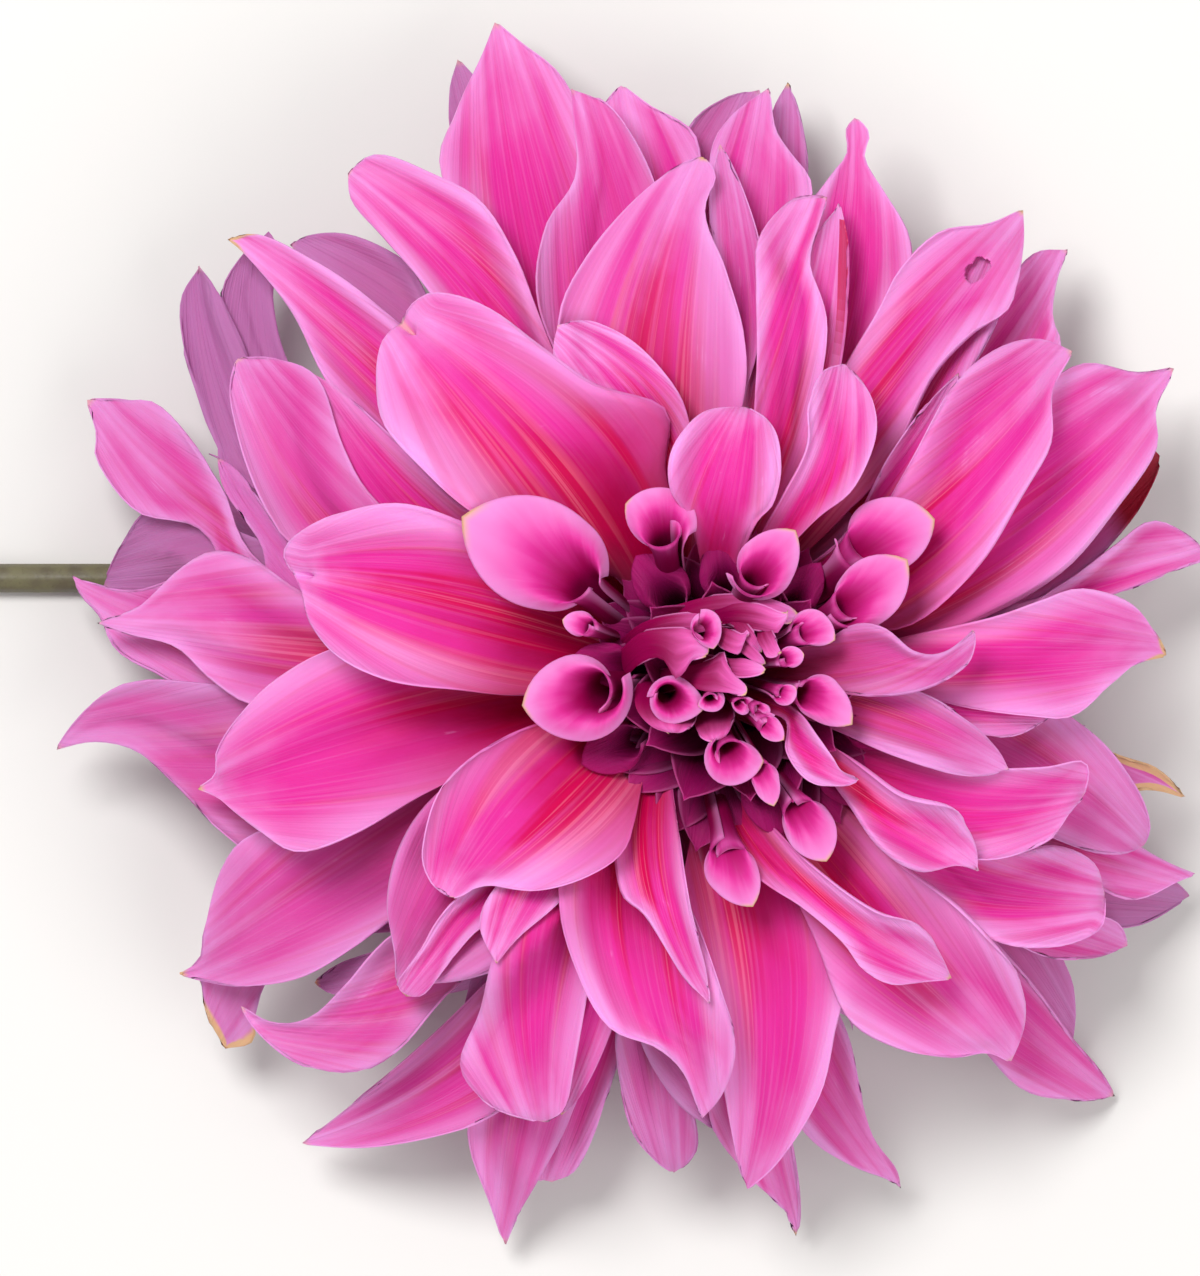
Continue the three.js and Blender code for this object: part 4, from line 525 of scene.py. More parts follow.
# The calyx cup's profile as radius and height along the receptacle's axis. Each ring of bracts
# has its first bearing and its turn in degrees, how far the bracts reach out from their root,
# and the heights where they start and end. Their roots are sunk into the cup, and they arch up
# about their middle.
CALYX_PROFILE = ((0, -34), (3.4, -33.5), (6, -30), (10, -26.5), (12.5, -23), (11, -22.3), (0, -22.3))
BRACT_RINGS = (
    dict(count=5, first=-140, turn=56, reach=24, width=9, start=-29, end=-35),
    dict(count=8, first=20, turn=45, reach=13, width=8, start=-26, end=-28),
)
BRACT_ROOT = 6
BRACT_SINK = 2
BRACT_MIDDLE = 0.55
BRACT_ARCH = 1.5
BRACT_CLAW = 0.5
BRACT_THICKNESS = 0.0008

# The stem's midline, from its cut end up into the calyx, and its ribs.
STEM_PATH = (
    (-196, 22.5, 3),
    (-160, 22.5, 3),
    (-120, 22.5, 3),
    (-84, 22.3, 3),
    (-66, 21, 3.4),
    (-50, 18, 6),
    (-36, 13, 11),
    (-25, 9, 17),
)
STEM_RIBS = 8
STEM_RIB_DEPTH = 0.02
STEM_GRID = (160, 32)
LATHE_STEPS = 48

# The second colour in the mottling of receptacle, calyx and stem, and how fine the mottling is.
RECEPTACLE_MOTTLE = ("#7a0a40", 300)
CALYX_MOTTLE = ("#5f7a3a", 220)
STEM_MOTTLE = ("#706b4c", 160)

# The studio: lights with their places and sizes in metres and their power in watts, the light of
# the room, the camera's lens in mm, and what the lights and the camera look at, in mm from the eye.
LIGHTS = (
    dict(name="key", place=(-0.45, 0.6, 1.65), size=0.7, power=23.5),
    dict(name="fill", place=(0.9, -0.7, 1.2), size=1.4, power=10),
)
ROOM_LIGHT = 0.42
FLOOR_SIZE = 3
LENS = 557.2
LIT_PLACE = Vector((-24, 10, 40))
SEEN_PLACE = Vector((-28, 10.4, 0))


def eye_place():
    """The eye's place in the frame, mm: the outermost tips reach the sides of the petals' solid."""
    low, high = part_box("petals")
    left = min(petal["tip"][0] for petal in PETALS)
    back = max(petal["tip"][1] for petal in PETALS)
    return Vector((low[0] / MM - left, high[1] / MM - back, 0))


EYE = eye_place()


def linear(code):
    """A colour given as #rrggbb, in linear light."""
    channels = [int(code[i : i + 2], 16) / 255 for i in (1, 3, 5)]
    return tuple(c / 12.92 if c <= 0.04045 else ((c + 0.055) / 1.055) ** 2.4 for c in channels)


def colour(name, description, code):
    return bpy.props.FloatVectorProperty(
        name=name, description=description, default=linear(code), subtype="COLOR", min=0, max=1, size=3
    )


def length(name, description, value):
    return bpy.props.FloatProperty(
        name=name, description=description, default=value, min=0, unit="LENGTH", precision=5
    )


class DahliaPetalSettings(bpy.types.PropertyGroup):
    thickness: length("Thickness", "Thickness of a petal", 0.0003)
    # Throat: the petal's own crimson base, made darker as painted shade for the crevices between the
    # petals.
    throat: colour("Throat", "Colour deep in the base of a petal", "#bc0046")
    body: colour("Body", "Main colour of a petal", "#dd2f98")
    vein: colour("Veins", "Crimson streaks along the base of a petal", "#d80c58")
    coral: colour("Coral lines", "Fine lines among the crimson streaks", "#f67c98")
    # The upright petals round the centre and the small gap rolls: their crimson, darkened towards the
    # root as painted shade for the crevices there.
    deep: colour("Deep petals", "Root of the small upright petals round the centre", "#4e0027")
    deep_tip: colour("Deep tips", "Tip of the small upright petals round the centre", "#a60e66")
    margin: colour("Margins", "Colour along a petal's edges", "#f2a0e3")
    old: colour("Old petals", "Mauve of the oldest petals", "#ad70a4")
    under: colour("Undersides", "Colour of a petal's underside", "#d871bd")
    dry: colour("Dry tips", "Tan of a petal's dried tip", "#dfb088")
    dark: colour("Dark tips", "Dark red of a withered tip", "#9c1c34")


class DahliaCentreSettings(bpy.types.PropertyGroup):
    thickness: length("Thickness", "Thickness of a floret", 0.0003)
    # Inside and foot: the floret's own dark crimson, made darker as painted shade in its throat and low
    # at its foot.
    inside: colour("Inside", "Colour inside a floret", "#9a0350")
    foot: colour("Foot", "Colour of a floret's outside near its foot", "#7e0240")
    outside: colour("Outside", "Colour of a floret's outside near its rim", "#ce3c96")


class DahliaGreenSettings(bpy.types.PropertyGroup):
    stem_radius: length("Stem radius", "Radius of the stem", 0.00285)
    stem: colour("Stem", "Colour of the stem", "#5f5743")
    bract: colour("Bracts", "Colour of the calyx and its bracts", "#7b9350")


class DahliaStageSettings(bpy.types.PropertyGroup):
    floor: colour("Floor", "Colour of the floor", "#e9e7e4")
    camera_height: length("Camera height", "Height of the camera over the floor", 4)


def smooth(start, end, x):
    """From 0 to 1 as x goes from start to end, with soft ends."""
    t = np.clip((x - start) / (end - start), 0, 1)
    return t * t * (3 - 2 * t)


def closing(rows, power=ROW_CLOSING):
    """Steps from 0 to 1 that draw closer together towards 1."""
    return 1 - (1 - np.linspace(0, 1, rows + 1)) ** power


def tip_part(u):
    """0 along a blade up to where its tip starts, and from there up to 1."""
    return np.clip((u - (1 - TIP_SHARE)) / TIP_SHARE, 0, 1)


def unit(rows):
    return rows / np.linalg.norm(rows, axis=-1, keepdims=True)


def drawn(start, bend, end, u):
    """A smooth run from start to end that is drawn towards bend."""
    return (1 - u) ** 2 * start + 2 * u * (1 - u) * bend + u**2 * end


def through(start, via, end, u):
    """A smooth run from start to end that passes via half-way."""
    return drawn(start, 2 * via - (start + end) / 2, end, u)


def spline(knots, before, part):
    """Points on a smooth curve through knots, each by the knot before it and its part of the way on."""
    padded = np.vstack([2 * knots[0] - knots[1], knots, 2 * knots[-1] - knots[-2]])
    p0, p1, p2, p3 = (padded[before + k] for k in range(4))
    slope, bend = (p2 - p0) * part, (2 * p0 - 5 * p1 + 4 * p2 - p3) * part**2
    return p1 + 0.5 * (slope + bend + (3 * p1 - p0 - 3 * p2 + p3) * part**3)


def edge_curve(points, rows):
    """Plan places along a smooth curve through points, which close up towards its end."""
    knots = np.array(points, float)
    fine = np.linspace(0, 1, 12, endpoint=False)
    before = np.repeat(np.arange(len(knots) - 1), len(fine))
    part = np.tile(fine, len(knots) - 1)[:, None]
    line = np.vstack([spline(knots, before, part), knots[-1:]])
    run = np.concatenate([[0], np.cumsum(np.linalg.norm(np.diff(line, axis=0), axis=1))])
    at = closing(rows) * run[-1]
    return np.column_stack([np.interp(at, run, line[:, k]) for k in (0, 1)])


def outline_share(x, y):
    """How far out a plan place lies, 0 at the eye and 1 at the bloom's outline."""
    cx, cy = BLOOM_CENTRE
    a = BLOOM_RADIUS**2 - cx * cx - cy * cy
    b = x * cx + y * cy
    return (math.sqrt(b * b + a * (x * x + y * y)) - b) / a


def crown(place):
    """Height of the crown of petals over a plan place."""
    return float(np.interp(outline_share(*place), CROWN_OUT, CROWN_HEIGHT))


def middle_height(layer, place):
    return max(crown(place) - LAYER_DROP * layer, LOWEST_MIDDLE)


def tip_height(row, tip):
    """The height that a petal's or ring's row gives its tip, or else its layer's."""
    return row.get("tip_height", max(crown(tip) - LAYER_DROP * row["layer"], LOWEST_TIP))


def on_hub(bearing, radius, along):
    """A place on the receptacle, given round its own leaning axis."""
    place = Vector((radius * math.cos(bearing), radius * math.sin(bearing), along))
    return HUB + LEAN @ place


def layer_root(layer, bearing):
    """Where a petal of a layer grows out of the receptacle."""
    along = max(ROOT_TOP - ROOT_DROP * layer, ROOT_LOWEST)
    return on_hub(bearing, ROOT_RADIUS + ROOT_SPREAD * layer, along)


def petal_root(petal):
    """Where a petal grows from, and its bearing from there."""
    middle = (np.mean(petal["one"], axis=0) + np.mean(petal["other"], axis=0)) / 2
    if "root" in petal:
        root = np.array(petal["root"], float)
        return root, math.atan2(middle[1] - root[1], middle[0] - root[0])
    bearing = math.atan2(middle[1] - HUB.y, middle[0] - HUB.x)
    return np.array(layer_root(petal["layer"], bearing), float), bearing


def half_section(petal, u, reach, roll, columns):
    """How far out in plan, and how high, the points of one half of a petal lie."""
    cup = np.radians(80 + (petal["cup"] - 80) * smooth(0.05, 0.5, u))
    curl = np.radians(roll) * smooth(0.2, 0.5, u) * (1 - smooth(0.7, 0.95, u))
    radius = np.minimum(ROLL_RADIUS, reach * 0.3) * np.minimum(np.abs(curl), 1)
    t = np.linspace(0, 1, columns + 1)
    flat = np.minimum(t / ROLL_START, 1)
    turn = np.clip((t - ROLL_START) / (1 - ROLL_START), 0, 1)
    angle = np.outer(np.abs(curl), turn)
    plan = np.outer(reach - radius, flat) + radius[:, None] * np.sin(angle)
    plan = plan + np.outer(radius * (1 - np.minimum(np.abs(curl), 1)), turn)
    rise = np.outer(reach * np.tan(cup / 4), flat ** (2 * petal["fold"]))
    rise += np.sign(roll) * radius[:, None] * (1 - np.cos(angle))
    return plan, rise


def relief(petal, seed, u, v):
    """Height of a petal's ribs, of the groove along its midrib and of its waving edges."""
    ribs = petal["rib"] * np.cos(v * (7 + 2 * math.sin(seed)) + math.cos(seed)) * (1 - v**4)
    groove = -petal["groove"] * np.exp(-((v / 0.14) ** 2))
    body = np.sin(u * math.pi) ** 0.7
    u, v = u[:, None], v[None, :]
    wave = petal["wave"] * np.abs(v) ** 2.2 * (1 - u**6)
    wave = wave * np.sin((8 + 2 * math.cos(seed)) * u + seed + 1.4 * v) * smooth(0.25, 0.55, u)
    return np.outer(body, ribs + groove) + wave


def shape_tip(points, petal, u, v, heading):
    """Lifts a petal's tip, draws it back, and draws in its notch."""
    end = tip_part(u)[:, None]
    lift = petal["tip_curl"]
    points[..., 2] = np.maximum(points[..., 2] + lift * end**2, LOWEST_TIP)
    notch = petal["notch"] * end * np.clip(1 - np.abs(v[None, :]) / 0.5, 0, 1)
    points[..., :2] -= heading * (0.5 * lift * end**3 + notch)[..., None]


def petal_surface(petal, seed, rows, columns):
    """Points of a petal's face, rows from root to tip, columns from one edge to the other."""
    tip = np.array(petal["tip"], float)
    root, bearing = petal_root(petal)
    sides = list(zip((petal["one"], petal["other"]), petal["roll"]))
    across = np.array((-math.sin(bearing), math.cos(bearing)))
    if np.mean((np.array(petal["one"]) - np.array(petal["other"])[:1]) @ across) < 0:
        sides.reverse()
    claw = CLAW_WIDTH / 2 * across
    left = edge_curve([root[:2] + claw, *sides[0][0], tip], rows)
    right = edge_curve([root[:2] - claw, *sides[1][0], tip], rows)
    middle = (left + right) / 2
    via = middle[rows // 2]
    u = closing(rows)
    v = np.linspace(-1, 1, 2 * columns + 1)
    height = through(root[2], middle_height(petal["layer"], via), tip_height(petal, tip), u)
    points = np.zeros((rows + 1, 2 * columns + 1, 3))
    for sign, edge, roll in ((1, left, sides[0][1]), (-1, right, sides[1][1])):
        reach = np.linalg.norm(edge - middle, axis=1)
        out = (edge - middle) / np.maximum(reach, 1e-6)[:, None]
        plan, rise = half_section(petal, u, reach, roll, columns)
        at = columns + sign * np.arange(columns + 1)
        points[:, at, :2] = middle[:, None] + out[:, None] * plan[..., None]
        points[:, at, 2] = height[:, None] + rise
    width = np.linalg.norm(left - right, axis=1)
    points[..., 2] += relief(petal, seed, u, v) * np.minimum(width / RELIEF_WIDTH, 1)[:, None]
    shape_tip(points, petal, u, v, (tip - via) / np.linalg.norm(tip - via))
    return points


def funnel_surface(funnel, rows, columns):
    """Points of a rolled petal or floret, rows from foot to rim, columns round its mouth."""
    mouth, tip, foot = (np.array(funnel[key], float) for key in ("mouth", "tip", "foot"))
    radius, throat = funnel["radius"], funnel.get("throat", 0.5)
    u = closing(rows, RIM_CLOSING)
    axis = drawn(foot, foot + (mouth - foot) * 0.75, mouth, u[:, None])
    start = FOOT_HEIGHT - FOOT_DROP * funnel["layer"]
    top = crown(mouth) - LAYER_DROP * funnel["layer"]
    height = start + (top - start) * np.sin(np.minimum(u * 1.12, 1) * math.pi / 2)
    left, right = (math.radians(angle) for angle in funnel["sweep"])
    turn = np.concatenate([np.linspace(-left, 0, columns + 1), np.linspace(0, right, columns + 1)[1:]])
    tube = throat * (0.6 + 0.4 * u)
    flare = np.clip((u - 0.55) / 0.45, 0, 1) ** 1.8
    winding = np.maximum(1 + funnel["spiral"] * turn / math.pi, 0.15)
    ring = radius * np.outer(tube + (1 - throat) * flare, winding)
    lip = np.clip(1 - np.abs(turn) / math.radians(funnel.get("lip", 75)), 0, 1) ** 1.7
    ring += np.outer(flare, lip) * max(np.linalg.norm(tip - mouth) - radius, 0)
    angle = math.atan2(*(tip - mouth)[::-1]) + turn
    points = np.zeros((rows + 1, 2 * columns + 1, 3))
    points[..., 0] = axis[:, :1] + ring * np.cos(angle)
    points[..., 1] = axis[:, 1:] + ring * np.sin(angle)
    from_tip = np.abs(turn) / max(left, right)
    points[..., 2] = height[:, None] - np.outer(u**2, 0.3 * radius * from_tip**2)
    points[..., 2] -= (0.3 * radius * tip_part(u) ** 2)[:, None]
    return points


def blade_surface(root, via, tip, width, rows, columns, cup=0.9, claw=0.3):
    """Points of a plain blade along a bent midrib, widest in its middle and pointed at its tip."""
    root, via, tip = (np.array(place, float) for place in (root, via, tip))
    u = np.linspace(0, 1, rows + 1)
    middle = through(root, via, tip, u[:, None])
    along = unit(np.gradient(middle, axis=0))
    side = unit(np.cross((0, 0, 1), along))
    up = np.cross(along, side)
    half = width / 2 * (claw * (1 - u) + np.sin(np.clip(u * 1.05, 0, 1) * math.pi) ** 0.8)
    half[-1] = 0
    v = np.linspace(-1, 1, 2 * columns + 1)
    points = middle[:, None] + side[:, None] * (half[:, None] * v)[..., None]
    return points + up[:, None] * np.outer(half, np.tan(cup / 4) * v**2)[..., None]


def dense(points, times):
    """The same surface with more points, straight between its own."""
    for axis in (0, 1):
        count = points.shape[axis]
        at = np.linspace(0, count - 1, (count - 1) * times + 1)
        low = np.minimum(at.astype(int), count - 2)
        part = (at - low).reshape([-1 if k == axis else 1 for k in range(3)])
        points = np.take(points, low, axis) * (1 - part) + np.take(points, low + 1, axis) * part
    return points


def pile_cells(points):
    """The cells of the pile's map that points lie in."""
    cells = np.round(points[..., :2] / PILE_CELL).astype(int) + PILE_SIDE // 2
    cells = np.clip(cells, 0, PILE_SIDE - 1)
    return cells[..., 1], cells[..., 0]


def lay_on(pile, points):
    """Lifts a petal clear of those under it, past its root, and adds it to the pile."""
    under = pile
    for _ in range(PILE_REACH):
        beside = [np.roll(under, shift, (0, 1)) for shift in ((-1, 0), (1, 0), (0, -1), (0, 1))]
        under = np.max([under, *beside], axis=0)
    fade = smooth(0.08, 0.3, np.linspace(0, 1, len(points)))[:, None]
    need = np.maximum(under[pile_cells(points)] + PILE_GAP - points[..., 2], 0) * fade
    lift = need.copy()
    for _ in range(PILE_ROUNDS):
        padded = np.pad(lift, 1, mode="edge")
        around = padded[:-2, 1:-1] + padded[2:, 1:-1] + padded[1:-1, :-2] + padded[1:-1, 2:]
        lift = np.maximum(need, around / 4 * fade)
    points[..., 2] += lift
    fine = dense(points, PILE_DETAIL)
    np.maximum.at(pile, pile_cells(fine), fine[..., 2])


def lanes(points):
    """Where each point lies among a petal's veins, which run from its root to its tip: -1 to 1."""
    plan = points[..., :2]
    root, tip = plan[0].mean(axis=0), plan[-1].mean(axis=0)
    run = np.linalg.norm(tip - root)
    heading = (tip - root) / run
    side = np.array((-heading[1], heading[0]))
    along = np.clip((plan - root) @ heading / run, 0, 1)
    off = (plan - root) @ side
    middle = off.mean(axis=1)
    bow = 4 * along * (1 - along) * middle[len(middle) // 2]
    off = off - bow
    spread = 0.3 + 0.7 * np.sin(np.clip(along * 0.9 + 0.1, 0, 1) * math.pi)
    return off / (np.abs(off).max() * spread)


def tear(bm, faces, hole):
    """Cuts a ragged oval hole in a petal's faces, over a plan place, after splitting those round it."""
    place = (Vector((*hole, 0)) + EYE).xy * MM
    round_it = 3 * HOLE_RADIUS * MM
    near = [face for face in faces if (face.calc_center_median().xy - place).length < round_it]
    edges = list({edge for face in near for edge in face.edges})
    split = bmesh.ops.subdivide_edges(bm, edges=edges, cuts=5, use_grid_fill=True)
    torn = []
    for face in {item for item in split["geom"] if isinstance(item, bmesh.types.BMFace)}:
        away = face.calc_center_median().xy - place
        bearing = math.atan2(away.y, away.x)
        ragged = 1 + 0.27 * math.sin(2 * bearing) + 0.07 * math.sin(5 * bearing)
        if away.length < HOLE_RADIUS * MM * ragged:
            torn.append(face)
    bmesh.ops.delete(bm, geom=torn, context="FACES")


def petal_mesh(bm, points, hole=None, **values):
    """Adds a petal to a mesh: a grid whose points are moved to the petal's places."""
    rows, columns = points.shape[0] - 1, points.shape[1] - 1
    lane = lanes(points)
    stores = bm.verts.layers.float
    names = ("lane", *values)
    for name in names:
        if not stores.get(name):
            stores.new(name)
    if not bm.loops.layers.uv.get("UVMap"):
        bm.loops.layers.uv.new("UVMap")
    layers = {name: stores.get(name) for name in names}
    made = bmesh.ops.create_grid(bm, x_segments=rows, y_segments=columns, size=0.5, calc_uvs=True)
    for vert in made["verts"]:
        i = round((vert.co.x + 0.5) * rows)
        j = round((vert.co.y + 0.5) * columns)
        vert.co = (Vector(points[i, j]) + EYE) * MM
        vert[layers["lane"]] = lane[i, j]
        for name, value in values.items():
            vert[layers[name]] = value
    if hole:
        tear(bm, {face for vert in made["verts"] for face in vert.link_faces}, hole)


def finished(bm, name, materials, thickness):
    """An object from a mesh, thickened where it is of blades, that rides on the part's one body."""
    bmesh.ops.remove_doubles(bm, verts=bm.verts, dist=1e-6)
    for face in bm.faces:
        face.smooth = True
    mesh = bpy.data.meshes.new(name)
    bm.to_mesh(mesh)
    bm.free()
    piece = bpy.data.objects.new(name, mesh)
    bpy.context.scene.collection.objects.link(piece)
    for material in materials:
        mesh.materials.append(material)
    if thickness:
        wall = piece.modifiers.new("wall", "SOLIDIFY")
        wall.thickness = thickness
        wall.offset = -1
        wall.use_even_offset = False
        wall.material_offset = len(materials) - 1
    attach(piece, "root")
    return piece


class Shader:
    """A material's node tree, with short calls for the nodes that the finishes use."""

    def __init__(self, name):
        self.material = bpy.data.materials.new(name)
        self.material.use_nodes = True
        self.tree = self.material.node_tree
        self.surface = self.tree.nodes["Principled BSDF"]

    def node(self, kind, **settings):
        made = self.tree.nodes.new(kind)
        for name, value in settings.items():
            setattr(made, name, value)
        return made

    def set(self, socket, value):
        if isinstance(value, bpy.types.NodeSocket):
            self.tree.links.new(value, socket)
        elif socket.type == "RGBA":
            socket.default_value = (*value[:3], 1)
        else:
            socket.default_value = value

    def math(self, operation, a, b):
        made = self.node("ShaderNodeMath", operation=operation)
        self.set(made.inputs[0], a)
        self.set(made.inputs[1], b)
        return made.outputs[0]

    def plus(self, a, b):
        return self.math("ADD", a, b)

    def less(self, a, b):
        return self.math("SUBTRACT", a, b)

    def times(self, a, b):
        return self.math("MULTIPLY", a, b)

    def mix(self, factor, a, b):
        made = self.node("ShaderNodeMix", data_type="RGBA")
        self.set(made.inputs[0], factor)
        self.set(made.inputs[6], a)
        self.set(made.inputs[7], b)
        return made.outputs[2]

    def step(self, value, low, high, start=0.0, end=1.0):
        """Start where value is under low, end where it is over high, and smooth between."""
        made = self.node("ShaderNodeMapRange", interpolation_type="SMOOTHSTEP")
        for k, item in enumerate((value, low, high, start, end)):
            self.set(made.inputs[k], item)
        return made.outputs[0]

    def attribute(self, name):
        return self.node("ShaderNodeAttribute", attribute_name=name).outputs["Fac"]

    def noise(self, vector, scale, detail, rough=0.5):
        made = self.node("ShaderNodeTexNoise")
        self.set(made.inputs["Vector"], vector)
        self.set(made.inputs["Scale"], scale)
        self.set(made.inputs["Detail"], detail)
        self.set(made.inputs["Roughness"], rough)
        return made.outputs["Fac"]

    def combined(self, x, y, z):
        made = self.node("ShaderNodeCombineXYZ")
        for socket, value in zip(made.inputs, (x, y, z)):
            self.set(socket, value)
        return made.outputs[0]

    def bump(self, height, strength, distance):
        made = self.node("ShaderNodeBump")
        self.set(made.inputs["Height"], height)
        made.inputs["Strength"].default_value = strength
        made.inputs["Distance"].default_value = distance
        self.tree.links.new(made.outputs[0], self.surface.inputs["Normal"])

    def finish(self, base, roughness, **values):
        self.set(self.surface.inputs["Base Color"], base)
        self.set(self.surface.inputs["Roughness"], roughness)
        for name, value in values.items():
            self.surface.inputs[name.replace("_", " ")].default_value = value
        return self.material


class BladeShader(Shader):
    """A petal's or floret's material, which knows where on its blade each point lies."""

    def __init__(self, name):
        super().__init__(name)
        parts = self.node("ShaderNodeSeparateXYZ")
        self.set(parts.inputs[0], self.node("ShaderNodeUVMap", uv_map="UVMap").outputs[0])
        self.along, self.across = parts.outputs[0], parts.outputs[1]
        self.edge = self.times(self.math("ABSOLUTE", self.less(self.across, 0.5), 0.0), 2.0)
        self.seed = self.attribute("seed")

    def drawn_noise(self, across, along_scale, across_scale, detail):
        """Noise that is drawn out along the blade, and differs from blade to blade."""
        x, y = self.times(self.along, along_scale), self.times(across, across_scale)
        return self.noise(self.combined(x, y, self.seed), 1.0, detail)

    def flesh(self, base, roughness, depth):
        return self.finish(
            base,
            roughness,
            Specular_IOR_Level=0.08,
            Subsurface_Weight=0.2,
            Subsurface_Radius=(0.9, 0.25, 0.5),
            Subsurface_Scale=depth,
        )


def streaked(s, settings, broad, narrow, fine, wander):
    """A petal's crimson base, which runs into pink in crimson and coral streaks."""
    streak = s.step(s.plus(s.times(broad, 0.6), s.times(narrow, 0.4)), 0.46, 0.62)
    along = s.plus(s.along, s.plus(wander, s.times(s.edge, 0.16)))
    along = s.less(along, s.times(streak, 0.2))
    # From the throat's dark crimson, partly painted shade, to the body's pink along the blade.
    body = s.mix(s.step(along, 0.15, 0.62), settings.throat, settings.body)
    reach = s.step(s.plus(s.along, wander), 0.3, 0.85, 0.62, 0.0)
    inner = s.step(s.edge, 0.35, 0.9, 1.0, 0.0)
    warm = s.times(s.times(streak, reach), inner)
    body = s.mix(warm, body, settings.vein)
    return s.mix(s.times(warm, s.step(fine, 0.48, 0.62, 0.0, 0.7)), body, settings.coral)


def margin_share(s, broad, wander):
    """How far the margins' colour covers a petal, along its edges and round its tip."""
    uneven = s.less(broad, 0.5)
    rim = s.plus(s.edge, s.times(uneven, 0.7))
    pale = s.times(s.step(rim, 0.22, 0.9), s.step(s.along, 0.2, 0.6, 0.15, 0.95))
    tip = s.plus(s.along, s.plus(wander, s.times(uneven, 0.6)))
    return s.math("MAXIMUM", pale, s.step(tip, 0.55, 1.1, 0.0, 0.9))


def lined(s, settings, body, narrow, fine, mottle):
    """Thin lines along a petal's veins, and its few pale scars."""
    line = s.times(s.step(narrow, 0.52, 0.68), s.step(s.along, 0.2, 0.98, 0.2, 0.1))
    body = s.mix(line, body, settings.vein)
    light = s.times(s.step(fine, 0.45, 0.7, 0.0, 0.12), s.step(s.along, 0.2, 0.7))
    body = s.mix(light, body, settings.margin)
    scar = s.times(s.step(mottle, 0.68, 0.74, 0.0, 0.3), s.step(fine, 0.45, 0.6))
    return s.mix(scar, body, settings.margin)


def aged(s, settings, body, wander):
    """The small upright petals' crimson, darkened towards the root by painted shade, the mauve of old
    ones, and dried tips.
    """
    # Painted shade: the upright petals and gap rolls darken from tip to root, a little less at their
    # edges.
    shade = s.mix(s.step(s.along, 0.35, 1.0), settings.deep, settings.deep_tip)
    body = s.mix(s.times(s.attribute("deep"), s.step(s.edge, 0.85, 1.0, 0.97, 0.85)), body, shade)
    old = s.times(s.attribute("age"), s.step(s.plus(s.along, wander), 0.1, 0.55, 0.3, 0.8))
    body = s.mix(old, body, settings.old)
    dryness = s.attribute("dry")
    spread = s.times(s.math("MAXIMUM", s.less(dryness, 1.0), 0.0), s.edge)
    dry = s.plus(s.plus(s.along, s.times(wander, 0.12)), s.times(spread, 0.35))
    dry = s.times(s.step(dry, 0.955, 0.99), s.math("MINIMUM", dryness, 1.0))
    body = s.mix(dry, body, settings.dry)
    return s.mix(s.times(s.step(s.along, 0.7, 0.78), s.attribute("dark")), body, settings.dark)


def petal_finish(name, settings, underside):
    """Dark crimson base, partly painted shade, crimson streaks along the veins, wide pale margins and a
    dry tip.
    """
    s = BladeShader(name)
    lane = s.attribute("lane")
    broad = s.drawn_noise(lane, 0.6, 2.6, 1.0)
    narrow = s.drawn_noise(lane, 0.8, 8.0, 1.0)
    fine = s.drawn_noise(lane, 1.6, 26.0, 2.0)
    mottle = s.drawn_noise(s.across, 6.0, 4.0, 4.0)
    wander = s.times(s.less(mottle, 0.5), 0.3)
    body = streaked(s, settings, broad, narrow, fine, wander)
    body = s.mix(margin_share(s, broad, wander), body, settings.margin)
    if underside:
        body = s.mix(s.step(s.edge, 0.6, 1.0, 0.65, 0.1), body, settings.under)
    body = lined(s, settings, body, narrow, fine, mottle)
    body = aged(s, settings, body, wander)
    ridges = s.plus(s.times(fine, 0.35), s.plus(s.times(narrow, 0.6), broad))
    s.bump(ridges, 0.5, 0.0008)
    return s.flesh(body, s.step(mottle, 0.3, 0.7, 0.48, 0.62), 0.0012)


def floret_finish(name, settings, petal_settings, underside):
    """Dark throat and foot, partly painted shade, pink towards a pale rim, partly a painted highlight,
    and a tan point or a tan, frayed end.
    """
    s = BladeShader(name)
    margin = petal_settings.margin
    fine = s.drawn_noise(s.across, 1.6, 26.0, 2.0)
    soft = s.drawn_noise(s.across, 2.0, 6.0, 2.0)
    along = s.plus(s.along, s.times(s.less(soft, 0.5), 0.3))
    # Both faces darken towards the foot: partly the floret's crimson, partly painted shade.
    if underside:
        body = s.mix(s.step(along, 0.4, 1.0), settings.foot, settings.outside)
        body = s.mix(s.step(along, 0.8, 1.05, 0.0, 0.5), body, margin)
    else:
        body = s.mix(s.step(along, 0.45, 0.8), settings.inside, petal_settings.body)
        body = s.mix(s.step(along, 0.66, 1.0, 0.0, 0.75), body, margin)
    # Pale band along the edges: partly the pale margin colour, partly a painted highlight on the rims.
    body = s.mix(s.step(s.edge, 0.8, 1.0, 0.0, 0.35), body, margin)
    light = s.times(s.step(fine, 0.45, 0.7, 0.0, 0.12), s.step(s.along, 0.5, 0.9))
    body = s.mix(light, body, margin)
    frayed = s.attribute("frayed")
    body = s.mix(s.times(frayed, s.step(along, 0.3, 0.9, 0.0, 0.28)), body, margin)
    point = s.times(s.step(s.along, 0.92, 1.0), s.step(s.edge, 0.02, 0.12, 1.0, 0.0))
    body = s.mix(point, body, petal_settings.dry)
    end = s.step(s.plus(s.along, s.times(s.edge, 0.1)), 0.9, 1.0)
    body = s.mix(s.times(end, frayed), body, petal_settings.dry)
    s.bump(s.plus(fine, soft), 0.4, 0.0003)
    return s.flesh(body, 0.55, 0.001)


